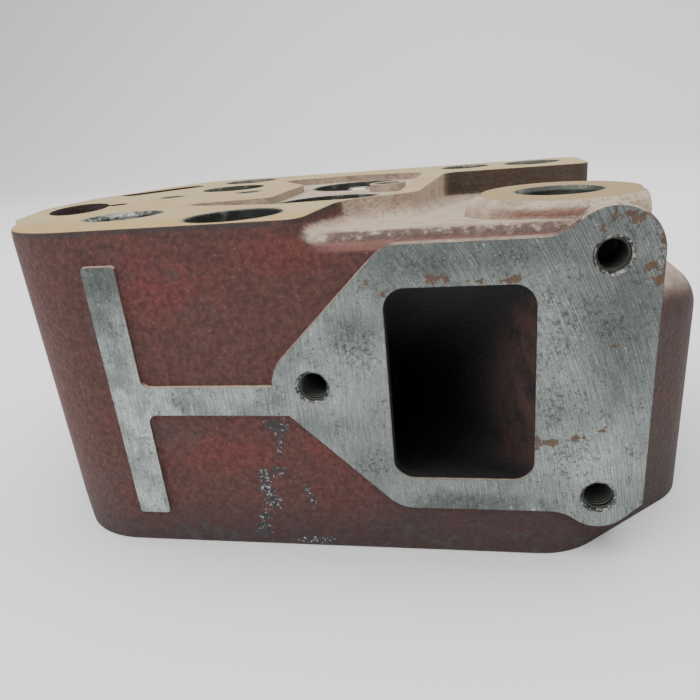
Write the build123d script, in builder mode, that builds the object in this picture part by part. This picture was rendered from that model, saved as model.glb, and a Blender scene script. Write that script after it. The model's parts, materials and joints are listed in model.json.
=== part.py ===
from build123d import *
from math import cos, radians, sin
import os

# Water-cooled single-cylinder diesel head, with its valve gear, injector sleeve and plugs.
# Millimetres. +Z is up, away from the cylinder.
# The origin is where the cylinder axis meets the cylinder face.
# The intake flange faces -Y and the exhaust flange faces +Y.

os.makedirs("parts", exist_ok=True)

# Driving dimensions of the casting
HEAD_HEIGHT = 94.5
FLANGE_Y = -86.0
PAD_HEIGHT = 0.9
FRONT_Y = FLANGE_Y + PAD_HEIGHT
REAR_FLANGE_Y = 73.0
REAR_Y = REAR_FLANGE_Y - PAD_HEIGHT
LEFT_X = -116.6
RIGHT_X = 103.4
UPPER_RIGHT_X = 83.3
UPPER_CORNER_RADIUS = 7.0
SHOULDER_HEIGHT = 71.0
SHOULDER_RADIUS = 12.0
SHELF_FRONT_Z = 91.0
SHELF_REAR_Z = 83.5
SHELF_REAR_Y = 29.0
SHELF_RIM_RADIUS = 5.0
SHELF_FOOT_RADIUS = 3.5
BOSS_DEPTH = 18.0
BOSS_TAPER = 7.0
BOSS_FOOT_RADIUS = 5.0
BOSS_FOOT_REACH = 4.4
BOSS_FOOT_DEPTH = 6.0
WELL_DEPTH = 2.5
CLEAR = 30.0

# Fastening
BOLT_X = 63.1
BOLT_Y = 55.5
BOLT_HOLE_RADIUS = 10.5
BOLT_CHAMFER = 1.2
BOSS_RADIUS = 20.5
TAPPED_RADIUS = 4.0
TAPPED_CHAMFER = 0.7
TAPPED_DEPTH = 18.0
FLANGE_HOLE_DEPTHS = (18.0, 16.5, 19.5)

# Intake flange, measured from its left tapped hole
FLANGE_HOLE_X = -1.6
FLANGE_MID_Z = 51.0
FLANGE_HOLE_REACH = 73.9
FLANGE_HOLE_RISE = 31.8
FLANGE_LOBE_RADIUS = 11.0
LOWER_LOBE_RADIUS = 9.0
FLANGE_HALF_HEIGHT = 36.5
FLANGE_SLOPE = 44.5
FLANGE_CORNER_RADIUS = 9.0
FLANGE_NOTCH_RADIUS = 11.0
FLANGE_BACK = 20.0
INTAKE_PORT_SIZE = (36.9, 53.0)
INTAKE_PORT_CENTRE = (37.35, 50.5)
PORT_CORNER_RADIUS = 5.5
PORT_ROUNDNESS = 0.995
MOUTH_LENGTH = 4.0

# T pad beside the flange
T_BAR_X = -55.45
T_BAR_Z = 47.8
T_BAR_SIZE = (9.7, 74.8)
T_ARM_Z = 47.0
T_ARM_WIDTH = 8.4
T_CORNER_RADIUS = 1.2
T_ROOT_RADIUS = 2.5
PAD_TAPER = 18.0

# Exhaust flange
EXHAUST_CENTRE = (-6.6, 34.0)
EXHAUST_PORT_SIZE = (30.0, 34.0)
EXHAUST_HOLE_SPACING = (52.0, 44.0)
EXHAUST_TAPPED_DEPTH = 12.0
EXHAUST_FLANGE_CORNER = 9.0
EXHAUST_FLANGE_SIZE = (76.0, 60.0)
EXHAUST_CENTRE_REAR = (-EXHAUST_CENTRE[0], EXHAUST_CENTRE[1])

# Bores
PUSHROD_CENTRE = (-22.8, -69.1)
PUSHROD_RADIUS = 13.0
DRAIN_CENTRE = (35.0, BOLT_Y)
DRAIN_RADIUS = 9.5
CLAMP_HOLES = [(-43.6, -1.0), (-74.3, -1.0)]
CLAMP_DEPTH = 12.0
PEDESTAL_CENTRE = (9.0, -0.3)
PEDESTAL_RADIUS = 6.5

# Water jacket, oil drilling and their plugs
DECK_THICKNESS = 10.0
LEFT_JACKET_TOP = 80.0
RIGHT_JACKET_TOP = 40.0
JACKET_WALL = 10.0
JACKET_CORNER_RADIUS = 6.0
COLUMN_WALL = 6.0
CORE_PLUG_RADIUS = 12.0
CORE_PLUG_DEPTH = 7.0
CORE_PLUG_WALL = 1.8
CORE_PLUG_SINK = 1.0
LEFT_PLUG = (-2.0, 44.0)
RIGHT_PLUG = (16.0, 27.0)
GALLERY_Z = 50.0
GALLERY_RADIUS = 3.0
GALLERY_PLUG_RADIUS = 7.0
GALLERY_PLUG_LENGTH = 9.0
GALLERY_PLUG_SINK = 1.0
GALLERY_HEX = 6.9
GALLERY_HEX_DEPTH = 5.0

# Valve gear, shared by both valves
VALVE_X = -6.6
POCKET_RADIUS = 17.5
POCKET_FLOOR = 50.0
STEM_RADIUS = 4.5
STEM_CLEARANCE = 0.05
STEM_TIP = 91.3
GUIDE_RADIUS = 7.5
GUIDE_NECK_RADIUS = 6.4
GUIDE_BOTTOM = 32.0
GUIDE_NECK = 57.0
GUIDE_TOP = 63.0
SEAL_RADIUS = 7.3
SEAL_TOP = 66.0
WASHER_RADIUS = 16.8
WASHER_THICKNESS = 2.0
WASHER_STEP_RADIUS = 11.2
OUTER_SPRING = (13.4, 2.0)
INNER_SPRING = (9.35, 1.3)
OUTER_TURNS = 5.0
INNER_TURNS = 6.5
INNER_SPRING_FOOT = 53.5
RETAINER_RADIUS = 15.6
RETAINER_UNDERSIDE = 84.5
RETAINER_TOP = 88.0
RETAINER_STEP = 82.5
RETAINER_BOTTOM = 80.0
RETAINER_HUB_RADIUS = 7.9
RETAINER_DISH = 0.8
COLLET_INSET = 0.4
COLLET_TOP_RADIUS = 7.1
COLLET_BOTTOM_RADIUS = 5.8
COLLET_TOP = 88.6
COLLET_GAP = 0.8
GROOVE_Z = 84.6
GROOVE_HEIGHT = 1.8
GROOVE_RADIUS = 3.7
FACE_GAP = 0.07
MARGIN_Z = 2.4
HEAD_RECESS = 0.8
INSERT_HEIGHT = 8.5
THROAT_TAPER_HEIGHT = 6.0
SEAT_RELIEF = 0.6
FACE_INSET = 0.4
NECK_TOP = 24.0
NECK_SLOPE = -0.35
TIP_CHAMFER = 0.6

VALVES = {
    "intake": {
        "y": -26.0,
        "head": 22.5,
        "insert": 25.0,
        "throat": 20.0,
        "port": 17.0,
        "bend": 22.0,
        "bend_z": 6.0,
    },
    "exhaust": {
        "y": 25.5,
        "head": 19.5,
        "insert": 22.0,
        "throat": 16.8,
        "port": 15.0,
        "bend": 20.0,
        "bend_z": 7.0,
    },
}
INTAKE_HEADING = -45.5

# Injector sleeve, on an axis that leans from the top face to the cylinder face
INJECTOR_TOP = Vector(-58.1, 21.0, HEAD_HEIGHT)
INJECTOR_TIP = Vector(-24.0, 0.0, 0.0)
INJECTOR_RADIUS = 12.0
SLEEVE_BORE_RADIUS = 9.6
SLEEVE_NECK_RADIUS = 8.2
SLEEVE_NECK_BORE = 6.0
SLEEVE_START = 8.0
SLEEVE_STEP = 66.0
SLEEVE_END = 90.0
SLEEVE_FLOOR = 2.0
NOZZLE_RADIUS = 4.0
RING_DEPTH = 16.0
RING_WIDTH = 2.6
RING_GROOVE_RADIUS = 10.7
SEAT_WASHER_RADIUS = 5.8
SEAT_WASHER_THICKNESS = 1.5

FRONT = Plane(origin=(0, FLANGE_Y, 0), x_dir=(1, 0, 0), z_dir=(0, -1, 0))
REAR = Plane(origin=(0, REAR_FLANGE_Y, 0), x_dir=(-1, 0, 0), z_dir=(0, 1, 0))
RIGHT = Plane(origin=(RIGHT_X, 0, 0), x_dir=(0, 1, 0), z_dir=(1, 0, 0))
LEFT = Plane(origin=(LEFT_X, 0, 0), x_dir=(0, -1, 0), z_dir=(-1, 0, 0))
TOP = Plane.XY.offset(HEAD_HEIGHT)
INJECTOR = Plane(origin=INJECTOR_TOP, x_dir=(0, 1, 0), z_dir=INJECTOR_TIP - INJECTOR_TOP)
INJECTOR_LENGTH = (INJECTOR_TIP - INJECTOR_TOP).length
FLANGE_HOLES = [
    (FLANGE_HOLE_X, FLANGE_MID_Z),
    (FLANGE_HOLE_X + FLANGE_HOLE_REACH, FLANGE_MID_Z + FLANGE_HOLE_RISE),
    (FLANGE_HOLE_X + FLANGE_HOLE_REACH, FLANGE_MID_Z - FLANGE_HOLE_RISE),
]

# Plan of the walls: each corner with the radius that rounds it
PLAN = [
    ((-77.1, FRONT_Y), 29.0),
    ((65.7, FRONT_Y), 21.0),
    ((RIGHT_X, -50.0), 22.0),
    ((RIGHT_X, REAR_Y), 20.0),
    ((-92.6, REAR_Y), 18.0),
    ((LEFT_X, 14.0), 20.0),
    ((LEFT_X, -18.0), 20.0),
    ((-101.5, -56.8), 15.0),
]
# Plan of the low shelf beside the top face
SHELF = [
    ((-2.5, FLANGE_Y - CLEAR), 0.0),
    ((2.2, -50.0), 14.0),
    ((24.0, -38.0), 9.0),
    ((28.0, SHELF_REAR_Y), 7.0),
    ((RIGHT_X + CLEAR, SHELF_REAR_Y + 2.0), 0.0),
    ((RIGHT_X + CLEAR, FLANGE_Y - CLEAR), 0.0),
]
# Plan of the dressed nick at the front left of the top face, and its depth
NICK = [(-84.5, -78.0), (-95.9, -60.2), (-105.5, -48.5), (-118.0, -60.0), (-95.0, -88.0)]
NICK_DEPTH = 2.5
# Plan of the shallow cast well in the top face
WELL = [
    ((-55.5, -33.0), 3.0),
    ((-46.0, -40.0), 5.0),
    ((-19.0, -48.5), 8.0),
    ((8.5, -45.5), 8.0),
    ((17.5, -35.0), 8.0),
    ((18.5, 40.0), 8.0),
    ((-12.0, 47.5), 8.0),
    ((-44.0, 43.0), 5.0),
    ((-26.0, 14.0), 10.0),
    ((-26.0, -28.5), 4.0),
]
LEFT_JACKET = [(-66, -74), (-92, -54), (-107.5, -17), (-107.5, 13), (-88, 62), (-45, 62), (-45, -74)]
RIGHT_JACKET = [(52, -30), (94.5, -30), (94.5, 50), (84, 62), (52, 62)]
DECK_COOLANT_HOLES = [(-88, -34), (-90, 22), (-64, -8), (80, -14), (84, 14), (78, 34)]
DECK_COOLANT_RADIUS = 5.0
COOLANT_OPENING = (-97.0, -26.0)
COOLANT_OPENING_RADII = (9.5, 19.5)
COOLANT_OPENING_ANGLE = 25.0
COOLANT_TAIL = (-86.5, -19.0)
COOLANT_TAIL_RADIUS = 3.5
REAR_SLOT = (-95.0, 33.0)
REAR_SLOT_SIZE = (38.0, 11.0)
REAR_SLOT_ANGLE = 55.0
EXHAUST_HOLES = [
    (
        EXHAUST_CENTRE_REAR[0] + x * EXHAUST_HOLE_SPACING[0] / 2,
        EXHAUST_CENTRE[1] + z * EXHAUST_HOLE_SPACING[1] / 2,
    )
    for x in (-1, 1)
    for z in (-1, 1)
]


def rounded_face(corners):
    """Draw a closed face through the corners and round each one that has a radius."""
    with BuildLine() as outline:
        Polyline(*[point for point, _ in corners], close=True)
    make_face(outline.line.edges())
    for point, radius in corners:
        if radius:
            fillet(vertices().sort_by_distance(Vector(*point))[0], radius)


def tapped_holes(plane, places, depth):
    """Cut tapped holes from a plane inwards, each with its lead-in chamfer."""
    with Locations(*[plane.location * Location((*place, 0)) for place in places]):
        Cylinder(TAPPED_RADIUS, depth, align=(Align.CENTER, Align.CENTER, Align.MAX), mode=Mode.SUBTRACT)
        Cone(
            TAPPED_RADIUS,
            TAPPED_RADIUS + TAPPED_CHAMFER,
            TAPPED_CHAMFER,
            align=(Align.CENTER, Align.CENTER, Align.MAX),
            mode=Mode.SUBTRACT,
        )


def bore(centre, radius, top=HEAD_HEIGHT, bottom=0.0, chamfer_size=0.0):
    """Cut an upright bore between two heights, with a chamfer at its top."""
    with Locations((*centre, bottom)):
        Cylinder(radius, top - bottom, align=(Align.CENTER, Align.CENTER, Align.MIN), mode=Mode.SUBTRACT)
    if chamfer_size:
        with Locations((*centre, top)):
            Cone(
                radius,
                radius + chamfer_size,
                chamfer_size,
                align=(Align.CENTER, Align.CENTER, Align.MAX),
                mode=Mode.SUBTRACT,
            )


def port_passage(valve, heading, mouth, centre, size):
    """Fill a port: straight up from the throat, a quarter bend, then a blend to the mouth in the flange."""
    along = Vector(cos(radians(heading)), sin(radians(heading)), 0)
    turn = Vector(VALVE_X, valve["y"], valve["bend_z"])
    level = turn + along * valve["bend"] + Vector(0, 0, valve["bend"])
    with BuildSketch(Plane(origin=turn)) as throat:
        Circle(valve["port"])
    extrude(throat.sketch, amount=-valve["bend_z"] - PAD_HEIGHT)
    hinge = Axis(turn + along * valve["bend"], Vector(0, 0, 1).cross(along))
    revolve(throat.sketch, axis=hinge, revolution_arc=90)
    with BuildSketch(Plane(origin=level, x_dir=Vector(0, 0, 1).cross(along), z_dir=along)) as neck:
        RectangleRounded(2 * valve["port"], 2 * valve["port"], PORT_ROUNDNESS * valve["port"])
    with BuildSketch(mouth) as opening:
        with Locations(centre):
            RectangleRounded(*size, PORT_CORNER_RADIUS)
    loft([neck.sketch, opening.sketch])
    extrude(opening.sketch, amount=MOUTH_LENGTH + PAD_HEIGHT)


def flange_outline():
    """Draw the intake flange: a lobe round each tapped hole, joined by straight edges and hollow corners.
    The lower lobe is smaller, and a slanting edge runs from it up to the side."""
    left, upper, lower = FLANGE_HOLES
    slope = radians(FLANGE_SLOPE)
    for side in (1, -1):
        tangent = (
            left[0] - FLANGE_LOBE_RADIUS * sin(slope),
            left[1] + side * FLANGE_LOBE_RADIUS * cos(slope),
        )
        corner = (
            tangent[0] + (FLANGE_HALF_HEIGHT - FLANGE_LOBE_RADIUS * cos(slope)) / sin(slope) * cos(slope),
            FLANGE_MID_Z + side * FLANGE_HALF_HEIGHT,
        )
        with BuildLine() as half:
            Polyline(
                left,
                tangent,
                corner,
                (upper[0], FLANGE_MID_Z + side * FLANGE_HALF_HEIGHT),
                (upper[0], FLANGE_MID_Z),
                close=True,
            )
        make_face(half.line.edges())
        fillet(vertices().sort_by_distance(Vector(*corner))[0], FLANGE_CORNER_RADIUS)
    with Locations((upper[0], FLANGE_MID_Z)):
        Rectangle(FLANGE_LOBE_RADIUS, 2 * FLANGE_HOLE_RISE, align=(Align.MIN, Align.CENTER))
    with Locations(left, upper):
        Circle(FLANGE_LOBE_RADIUS)
    with Locations(lower):
        Circle(LOWER_LOBE_RADIUS)
    diagonal = LOWER_LOBE_RADIUS * cos(radians(45))
    side_drop = LOWER_LOBE_RADIUS / cos(radians(45)) - FLANGE_LOBE_RADIUS
    Polygon(
        lower,
        (lower[0] + diagonal, lower[1] - diagonal),
        (lower[0] + FLANGE_LOBE_RADIUS, lower[1] - side_drop),
        (lower[0] + FLANGE_LOBE_RADIUS, lower[1]),
        align=None,
    )
    for side, radius in ((1, FLANGE_LOBE_RADIUS), (-1, LOWER_LOBE_RADIUS)):
        reach = (radius**2 - (FLANGE_HALF_HEIGHT - FLANGE_HOLE_RISE) ** 2) ** 0.5
        notch = Vector(upper[0] - reach, FLANGE_MID_Z + side * FLANGE_HALF_HEIGHT)
        fillet(vertices().sort_by_distance(notch)[0], FLANGE_NOTCH_RADIUS)


def t_outline():
    """Draw the T pad: an upright bar, and a level bar that runs into the left lobe of the flange."""
    with Locations((T_BAR_X, T_BAR_Z)):
        RectangleRounded(*T_BAR_SIZE, T_CORNER_RADIUS)
    with Locations((T_BAR_X, T_ARM_Z)):
        Rectangle(FLANGE_HOLE_X - T_BAR_X, T_ARM_WIDTH, align=(Align.MIN, Align.CENTER))
    for side in (1, -1):
        root = Vector(T_BAR_X + T_BAR_SIZE[0] / 2, T_ARM_Z + side * T_ARM_WIDTH / 2)
        fillet(vertices().sort_by_distance(root)[0], T_ROOT_RADIUS)


def turned(profile, plane):
    """Turn a profile of (radius, height) points about the upright axis of a plane."""
    outline = [plane.from_local_coords(Vector(radius, 0, height)) for radius, height in profile]
    face = Face(Wire.make_polygon(outline, close=True))
    revolve(face, axis=Axis(plane.origin, plane.z_dir))


def finish(piece, name):
    """Label a finished piece and write it."""
    piece.part.label = name
    export_step(piece.part, f"parts/{name}.step")


# Space above the low shelf, with a rounded foot where its walls meet the sloping floor
with BuildPart() as shelf_space:
    with BuildSketch(Plane.XY.offset(SHOULDER_HEIGHT)):
        rounded_face(SHELF)
    extrude(amount=HEAD_HEIGHT - SHOULDER_HEIGHT + CLEAR)
    shelf_floor = Plane(
        origin=(0, SHELF_REAR_Y, SHELF_REAR_Z),
        x_dir=(1, 0, 0),
        z_dir=(0, SHELF_FRONT_Z - SHELF_REAR_Z, SHELF_REAR_Y - FRONT_Y),
    )
    split(bisect_by=shelf_floor, keep=Keep.TOP)
    floor_face = shelf_space.faces().sort_by(Axis.Z)[0]
    wall_feet = [
        edge
        for edge in floor_face.edges()
        if edge.center().X < RIGHT_X and edge.center().Y > FLANGE_Y - CLEAR / 2
        and edge.center().Y < SHELF_REAR_Y + 5
    ]
    fillet(wall_feet, SHELF_FOOT_RADIUS)

# Hollow foot that spreads from the bolt boss on to the shelf
boss_base = shelf_floor.origin + shelf_floor.y_dir * (-BOLT_Y - SHELF_REAR_Y) + Vector(BOLT_X, 0, 0)
with BuildPart() as boss_foot:
    with BuildSketch(Plane(origin=boss_base, x_dir=(1, 0, 0), z_dir=-shelf_floor.y_dir)):
        with BuildLine():
            foot = BOSS_RADIUS + BOSS_FOOT_REACH
            rise = (foot - BOSS_FOOT_RADIUS, BOSS_FOOT_RADIUS)
            Polyline(rise, (0, BOSS_FOOT_RADIUS), (0, -BOSS_FOOT_DEPTH), (foot, -BOSS_FOOT_DEPTH), (foot, 0))
            RadiusArc((foot, 0), rise, -BOSS_FOOT_RADIUS)
        make_face()
    revolve(axis=Axis(boss_base, shelf_floor.z_dir))
    with BuildSketch(Plane.XY.offset(SHOULDER_HEIGHT)):
        with Locations((UPPER_RIGHT_X, FRONT_Y + SHELF_RIM_RADIUS)):
            Rectangle(2 * RIGHT_X, 2 * RIGHT_X, align=(Align.MAX, Align.MIN))
    extrude(amount=HEAD_HEIGHT - SHOULDER_HEIGHT, mode=Mode.INTERSECT)

# Intake passage
with BuildPart() as intake_passage:
    port_passage(
        VALVES["intake"], INTAKE_HEADING, FRONT.offset(-MOUTH_LENGTH), INTAKE_PORT_CENTRE, INTAKE_PORT_SIZE
    )

# Exhaust passage
with BuildPart() as exhaust_passage:
    port_passage(
        VALVES["exhaust"], 90.0, REAR.offset(-MOUTH_LENGTH), EXHAUST_CENTRE_REAR, EXHAUST_PORT_SIZE
    )

# Left water space, round the bolt columns and the injector column
with BuildPart() as left_jacket:
    with BuildSketch(Plane.XY.offset(DECK_THICKNESS)):
        Polygon(*LEFT_JACKET, align=None)
    extrude(amount=LEFT_JACKET_TOP - DECK_THICKNESS)
    fillet(left_jacket.edges().filter_by(Axis.Z), JACKET_CORNER_RADIUS)
    with BuildSketch(Plane.XY):
        with Locations((-BOLT_X, -BOLT_Y), (-BOLT_X, BOLT_Y)):
            Circle(BOLT_HOLE_RADIUS + COLUMN_WALL)
    extrude(amount=HEAD_HEIGHT, mode=Mode.SUBTRACT)
    with BuildSketch(INJECTOR):
        Circle(INJECTOR_RADIUS + COLUMN_WALL)
    extrude(amount=INJECTOR_LENGTH, mode=Mode.SUBTRACT)

# Right water space
with BuildPart() as right_jacket:
    with BuildSketch(Plane.XY.offset(DECK_THICKNESS)):
        Polygon(*RIGHT_JACKET, align=None)
    extrude(amount=RIGHT_JACKET_TOP - DECK_THICKNESS)
    fillet(right_jacket.edges().filter_by(Axis.Z), JACKET_CORNER_RADIUS)
    with BuildSketch(Plane.XY):
        with Locations((BOLT_X, BOLT_Y)):
            Circle(BOLT_HOLE_RADIUS + COLUMN_WALL)
    extrude(amount=HEAD_HEIGHT, mode=Mode.SUBTRACT)

# Head casting
with BuildPart() as head_casting:
    # Low body over the whole plan, with a rounded shoulder
    with BuildSketch():
        rounded_face(PLAN)
    extrude(amount=SHOULDER_HEIGHT)
    fillet(head_casting.edges().group_by(Axis.Z)[-1], SHOULDER_RADIUS)

    # High body, up to the milled top face
    with BuildSketch():
        rounded_face(PLAN)
        with Locations((UPPER_RIGHT_X, 0)):
            Rectangle(2 * RIGHT_X, 4 * RIGHT_X, align=(Align.MAX, Align.CENTER), mode=Mode.INTERSECT)
        rear_corner = vertices().sort_by_distance(Vector(UPPER_RIGHT_X, REAR_Y))[0]
        fillet(rear_corner, UPPER_CORNER_RADIUS)
    extrude(amount=HEAD_HEIGHT)
    add(shelf_space.part, mode=Mode.SUBTRACT)
    shelf_rim = [
        edge
        for edge in head_casting.edges()
        if edge.center().Z > SHELF_REAR_Z - 1 and edge.center().Z < SHELF_FRONT_Z + 1
        and edge.length > 10
        and (edge.center().X > UPPER_RIGHT_X - 0.1 or edge.center().Y < FRONT_Y + 25)
        and edge.center().X > 5
    ]
    fillet(shelf_rim, SHELF_RIM_RADIUS)

    # Bolt boss on the shelf, with a spreading foot
    with BuildSketch(TOP):
        with Locations((BOLT_X, -BOLT_Y)):
            Circle(BOSS_RADIUS)
    extrude(amount=-BOSS_DEPTH, taper=-BOSS_TAPER)
    add(boss_foot.part)

    # Milled pads of the intake side: the flange with its three lobes, and the T
    with BuildSketch(FRONT):
        flange_outline()
        t_outline()
    extrude(amount=-PAD_HEIGHT - 0.5, taper=-PAD_TAPER)
    with BuildSketch(FRONT):
        flange_outline()
    extrude(amount=-FLANGE_BACK)

    # Milled pad of the exhaust side
    with BuildSketch(REAR):
        with Locations(EXHAUST_CENTRE_REAR):
            RectangleRounded(*EXHAUST_FLANGE_SIZE, EXHAUST_FLANGE_CORNER)
    extrude(amount=-PAD_HEIGHT - 0.5, taper=-PAD_TAPER)

    # Nick, well and valve pockets
    with BuildSketch(TOP):
        Polygon(*NICK, align=None)
    extrude(amount=-NICK_DEPTH, mode=Mode.SUBTRACT)
    with BuildSketch(TOP):
        rounded_face(WELL)
    extrude(amount=-WELL_DEPTH, mode=Mode.SUBTRACT)
    with BuildSketch(TOP):
        with Locations(PEDESTAL_CENTRE):
            Circle(PEDESTAL_RADIUS)
    extrude(amount=-WELL_DEPTH - 1.0)
    for valve in VALVES.values():
        centre = (VALVE_X, valve["y"])
        bore(centre, POCKET_RADIUS, bottom=POCKET_FLOOR)
        bore(centre, GUIDE_RADIUS, top=POCKET_FLOOR, bottom=valve["bend_z"])
        bore(centre, valve["insert"], top=INSERT_HEIGHT)
        with Locations((*centre, INSERT_HEIGHT)):
            Cone(
                valve["throat"],
                valve["port"],
                THROAT_TAPER_HEIGHT,
                align=(Align.CENTER, Align.CENTER, Align.MIN),
                mode=Mode.SUBTRACT,
            )
    add(intake_passage.part, mode=Mode.SUBTRACT)
    add(exhaust_passage.part, mode=Mode.SUBTRACT)

    # Head bolt, pushrod and oil drain bores
    for x in (-BOLT_X, BOLT_X):
        for y in (-BOLT_Y, BOLT_Y):
            bore((x, y), BOLT_HOLE_RADIUS, chamfer_size=BOLT_CHAMFER)
    bore(PUSHROD_CENTRE, PUSHROD_RADIUS, chamfer_size=0.4)
    bore(DRAIN_CENTRE, DRAIN_RADIUS, chamfer_size=0.8)

    # Water jacket, its cast openings in the top face and its holes in the cylinder face
    add(left_jacket.part, mode=Mode.SUBTRACT)
    add(right_jacket.part, mode=Mode.SUBTRACT)
    with BuildSketch(TOP):
        with Locations(Location((*COOLANT_OPENING, 0), COOLANT_OPENING_ANGLE)):
            Ellipse(*COOLANT_OPENING_RADII)
        with Locations(COOLANT_TAIL):
            Circle(COOLANT_TAIL_RADIUS)
        with Locations(Location((*REAR_SLOT, 0), REAR_SLOT_ANGLE)):
            SlotOverall(*REAR_SLOT_SIZE)
    extrude(amount=LEFT_JACKET_TOP - HEAD_HEIGHT - 1.0, mode=Mode.SUBTRACT)
    for centre in DECK_COOLANT_HOLES:
        bore(centre, DECK_COOLANT_RADIUS, top=DECK_THICKNESS + 1.0)

    # Core holes, and the oil drilling that feeds the rocker pedestal
    with BuildSketch(LEFT):
        with Locations((-LEFT_PLUG[0], LEFT_PLUG[1])):
            Circle(CORE_PLUG_RADIUS)
    extrude(amount=-JACKET_WALL, mode=Mode.SUBTRACT)
    with BuildSketch(RIGHT):
        with Locations(RIGHT_PLUG):
            Circle(CORE_PLUG_RADIUS)
    extrude(amount=-JACKET_WALL, mode=Mode.SUBTRACT)
    with BuildSketch(RIGHT):
        with Locations((PEDESTAL_CENTRE[1], GALLERY_Z)):
            Circle(GALLERY_PLUG_RADIUS)
    extrude(amount=-GALLERY_PLUG_LENGTH - 1.0, mode=Mode.SUBTRACT)
    with BuildSketch(RIGHT):
        with Locations((PEDESTAL_CENTRE[1], GALLERY_Z)):
            Circle(GALLERY_RADIUS)
    extrude(amount=PEDESTAL_CENTRE[0] - RIGHT_X, mode=Mode.SUBTRACT)
    bore(PEDESTAL_CENTRE, GALLERY_RADIUS, bottom=GALLERY_Z)

    # Tapped holes
    for place, depth in zip(FLANGE_HOLES, FLANGE_HOLE_DEPTHS):
        tapped_holes(FRONT, [place], depth)
    tapped_holes(REAR, EXHAUST_HOLES, EXHAUST_TAPPED_DEPTH)
    tapped_holes(TOP, CLAMP_HOLES, CLAMP_DEPTH)
    tapped_holes(TOP, [PEDESTAL_CENTRE], TAPPED_DEPTH)

    # Stepped, leaning bore of the injector sleeve
    with BuildSketch(INJECTOR.offset(-CLEAR)):
        Circle(INJECTOR_RADIUS)
    extrude(amount=CLEAR + SLEEVE_STEP, mode=Mode.SUBTRACT)
    with BuildSketch(INJECTOR):
        Circle(SLEEVE_NECK_RADIUS)
    extrude(amount=SLEEVE_END, mode=Mode.SUBTRACT)
    with BuildSketch(INJECTOR):
        Circle(NOZZLE_RADIUS)
    extrude(amount=INJECTOR_LENGTH + CLEAR, mode=Mode.SUBTRACT)
finish(head_casting, "head_casting")

# Injector sleeve: a stepped cup with a groove for its ring
with BuildPart() as injector_sleeve:
    turned(
        [
            (SLEEVE_BORE_RADIUS, SLEEVE_START),
            (INJECTOR_RADIUS, SLEEVE_START),
            (INJECTOR_RADIUS, RING_DEPTH),
            (RING_GROOVE_RADIUS, RING_DEPTH),
            (RING_GROOVE_RADIUS, RING_DEPTH + RING_WIDTH),
            (INJECTOR_RADIUS, RING_DEPTH + RING_WIDTH),
            (INJECTOR_RADIUS, SLEEVE_STEP),
            (SLEEVE_NECK_RADIUS, SLEEVE_STEP),
            (SLEEVE_NECK_RADIUS, SLEEVE_END),
            (NOZZLE_RADIUS, SLEEVE_END),
            (NOZZLE_RADIUS, SLEEVE_END - SLEEVE_FLOOR),
            (SLEEVE_NECK_BORE, SLEEVE_END - SLEEVE_FLOOR),
            (SLEEVE_NECK_BORE, SLEEVE_STEP - SLEEVE_FLOOR),
            (SLEEVE_BORE_RADIUS, SLEEVE_STEP - SLEEVE_FLOOR),
        ],
        INJECTOR,
    )
finish(injector_sleeve, "injector_sleeve")

# Ring in the sleeve's groove
with BuildPart() as injector_sleeve_ring:
    turned(
        [
            (RING_GROOVE_RADIUS, RING_DEPTH),
            (INJECTOR_RADIUS, RING_DEPTH),
            (INJECTOR_RADIUS, RING_DEPTH + RING_WIDTH),
            (RING_GROOVE_RADIUS, RING_DEPTH + RING_WIDTH),
        ],
        INJECTOR,
    )
finish(injector_sleeve_ring, "injector_sleeve_ring")

# Copper washer that the nozzle sits on
with BuildPart() as injector_seat_washer:
    turned(
        [
            (NOZZLE_RADIUS, SLEEVE_END - SLEEVE_FLOOR - SEAT_WASHER_THICKNESS),
            (SEAT_WASHER_RADIUS, SLEEVE_END - SLEEVE_FLOOR - SEAT_WASHER_THICKNESS),
            (SEAT_WASHER_RADIUS, SLEEVE_END - SLEEVE_FLOOR),
            (NOZZLE_RADIUS, SLEEVE_END - SLEEVE_FLOOR),
        ],
        INJECTOR,
    )
finish(injector_seat_washer, "injector_seat_washer")

# Core plugs: pressed cups, open outwards
with BuildPart() as core_plugs:
    for plane, place in ((LEFT, (-LEFT_PLUG[0], LEFT_PLUG[1])), (RIGHT, RIGHT_PLUG)):
        with BuildSketch(plane.offset(-CORE_PLUG_SINK)):
            with Locations(place):
                Circle(CORE_PLUG_RADIUS)
        extrude(amount=-CORE_PLUG_DEPTH)
        with BuildSketch(plane.offset(-CORE_PLUG_SINK)):
            with Locations(place):
                Circle(CORE_PLUG_RADIUS - CORE_PLUG_WALL)
        extrude(amount=CORE_PLUG_WALL - CORE_PLUG_DEPTH, mode=Mode.SUBTRACT)
finish(core_plugs, "core_plugs")

# Gallery plug, with a hexagon socket
with BuildPart() as gallery_plug:
    with BuildSketch(RIGHT.offset(-GALLERY_PLUG_SINK)):
        with Locations((PEDESTAL_CENTRE[1], GALLERY_Z)):
            Circle(GALLERY_PLUG_RADIUS)
            RegularPolygon(GALLERY_HEX / 2, 6, major_radius=False, mode=Mode.SUBTRACT)
    extrude(amount=-GALLERY_HEX_DEPTH)
    with BuildSketch(RIGHT.offset(-GALLERY_PLUG_SINK - GALLERY_HEX_DEPTH)):
        with Locations((PEDESTAL_CENTRE[1], GALLERY_Z)):
            Circle(GALLERY_PLUG_RADIUS)
    extrude(amount=GALLERY_HEX_DEPTH - GALLERY_PLUG_LENGTH)
finish(gallery_plug, "gallery_plug")

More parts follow.
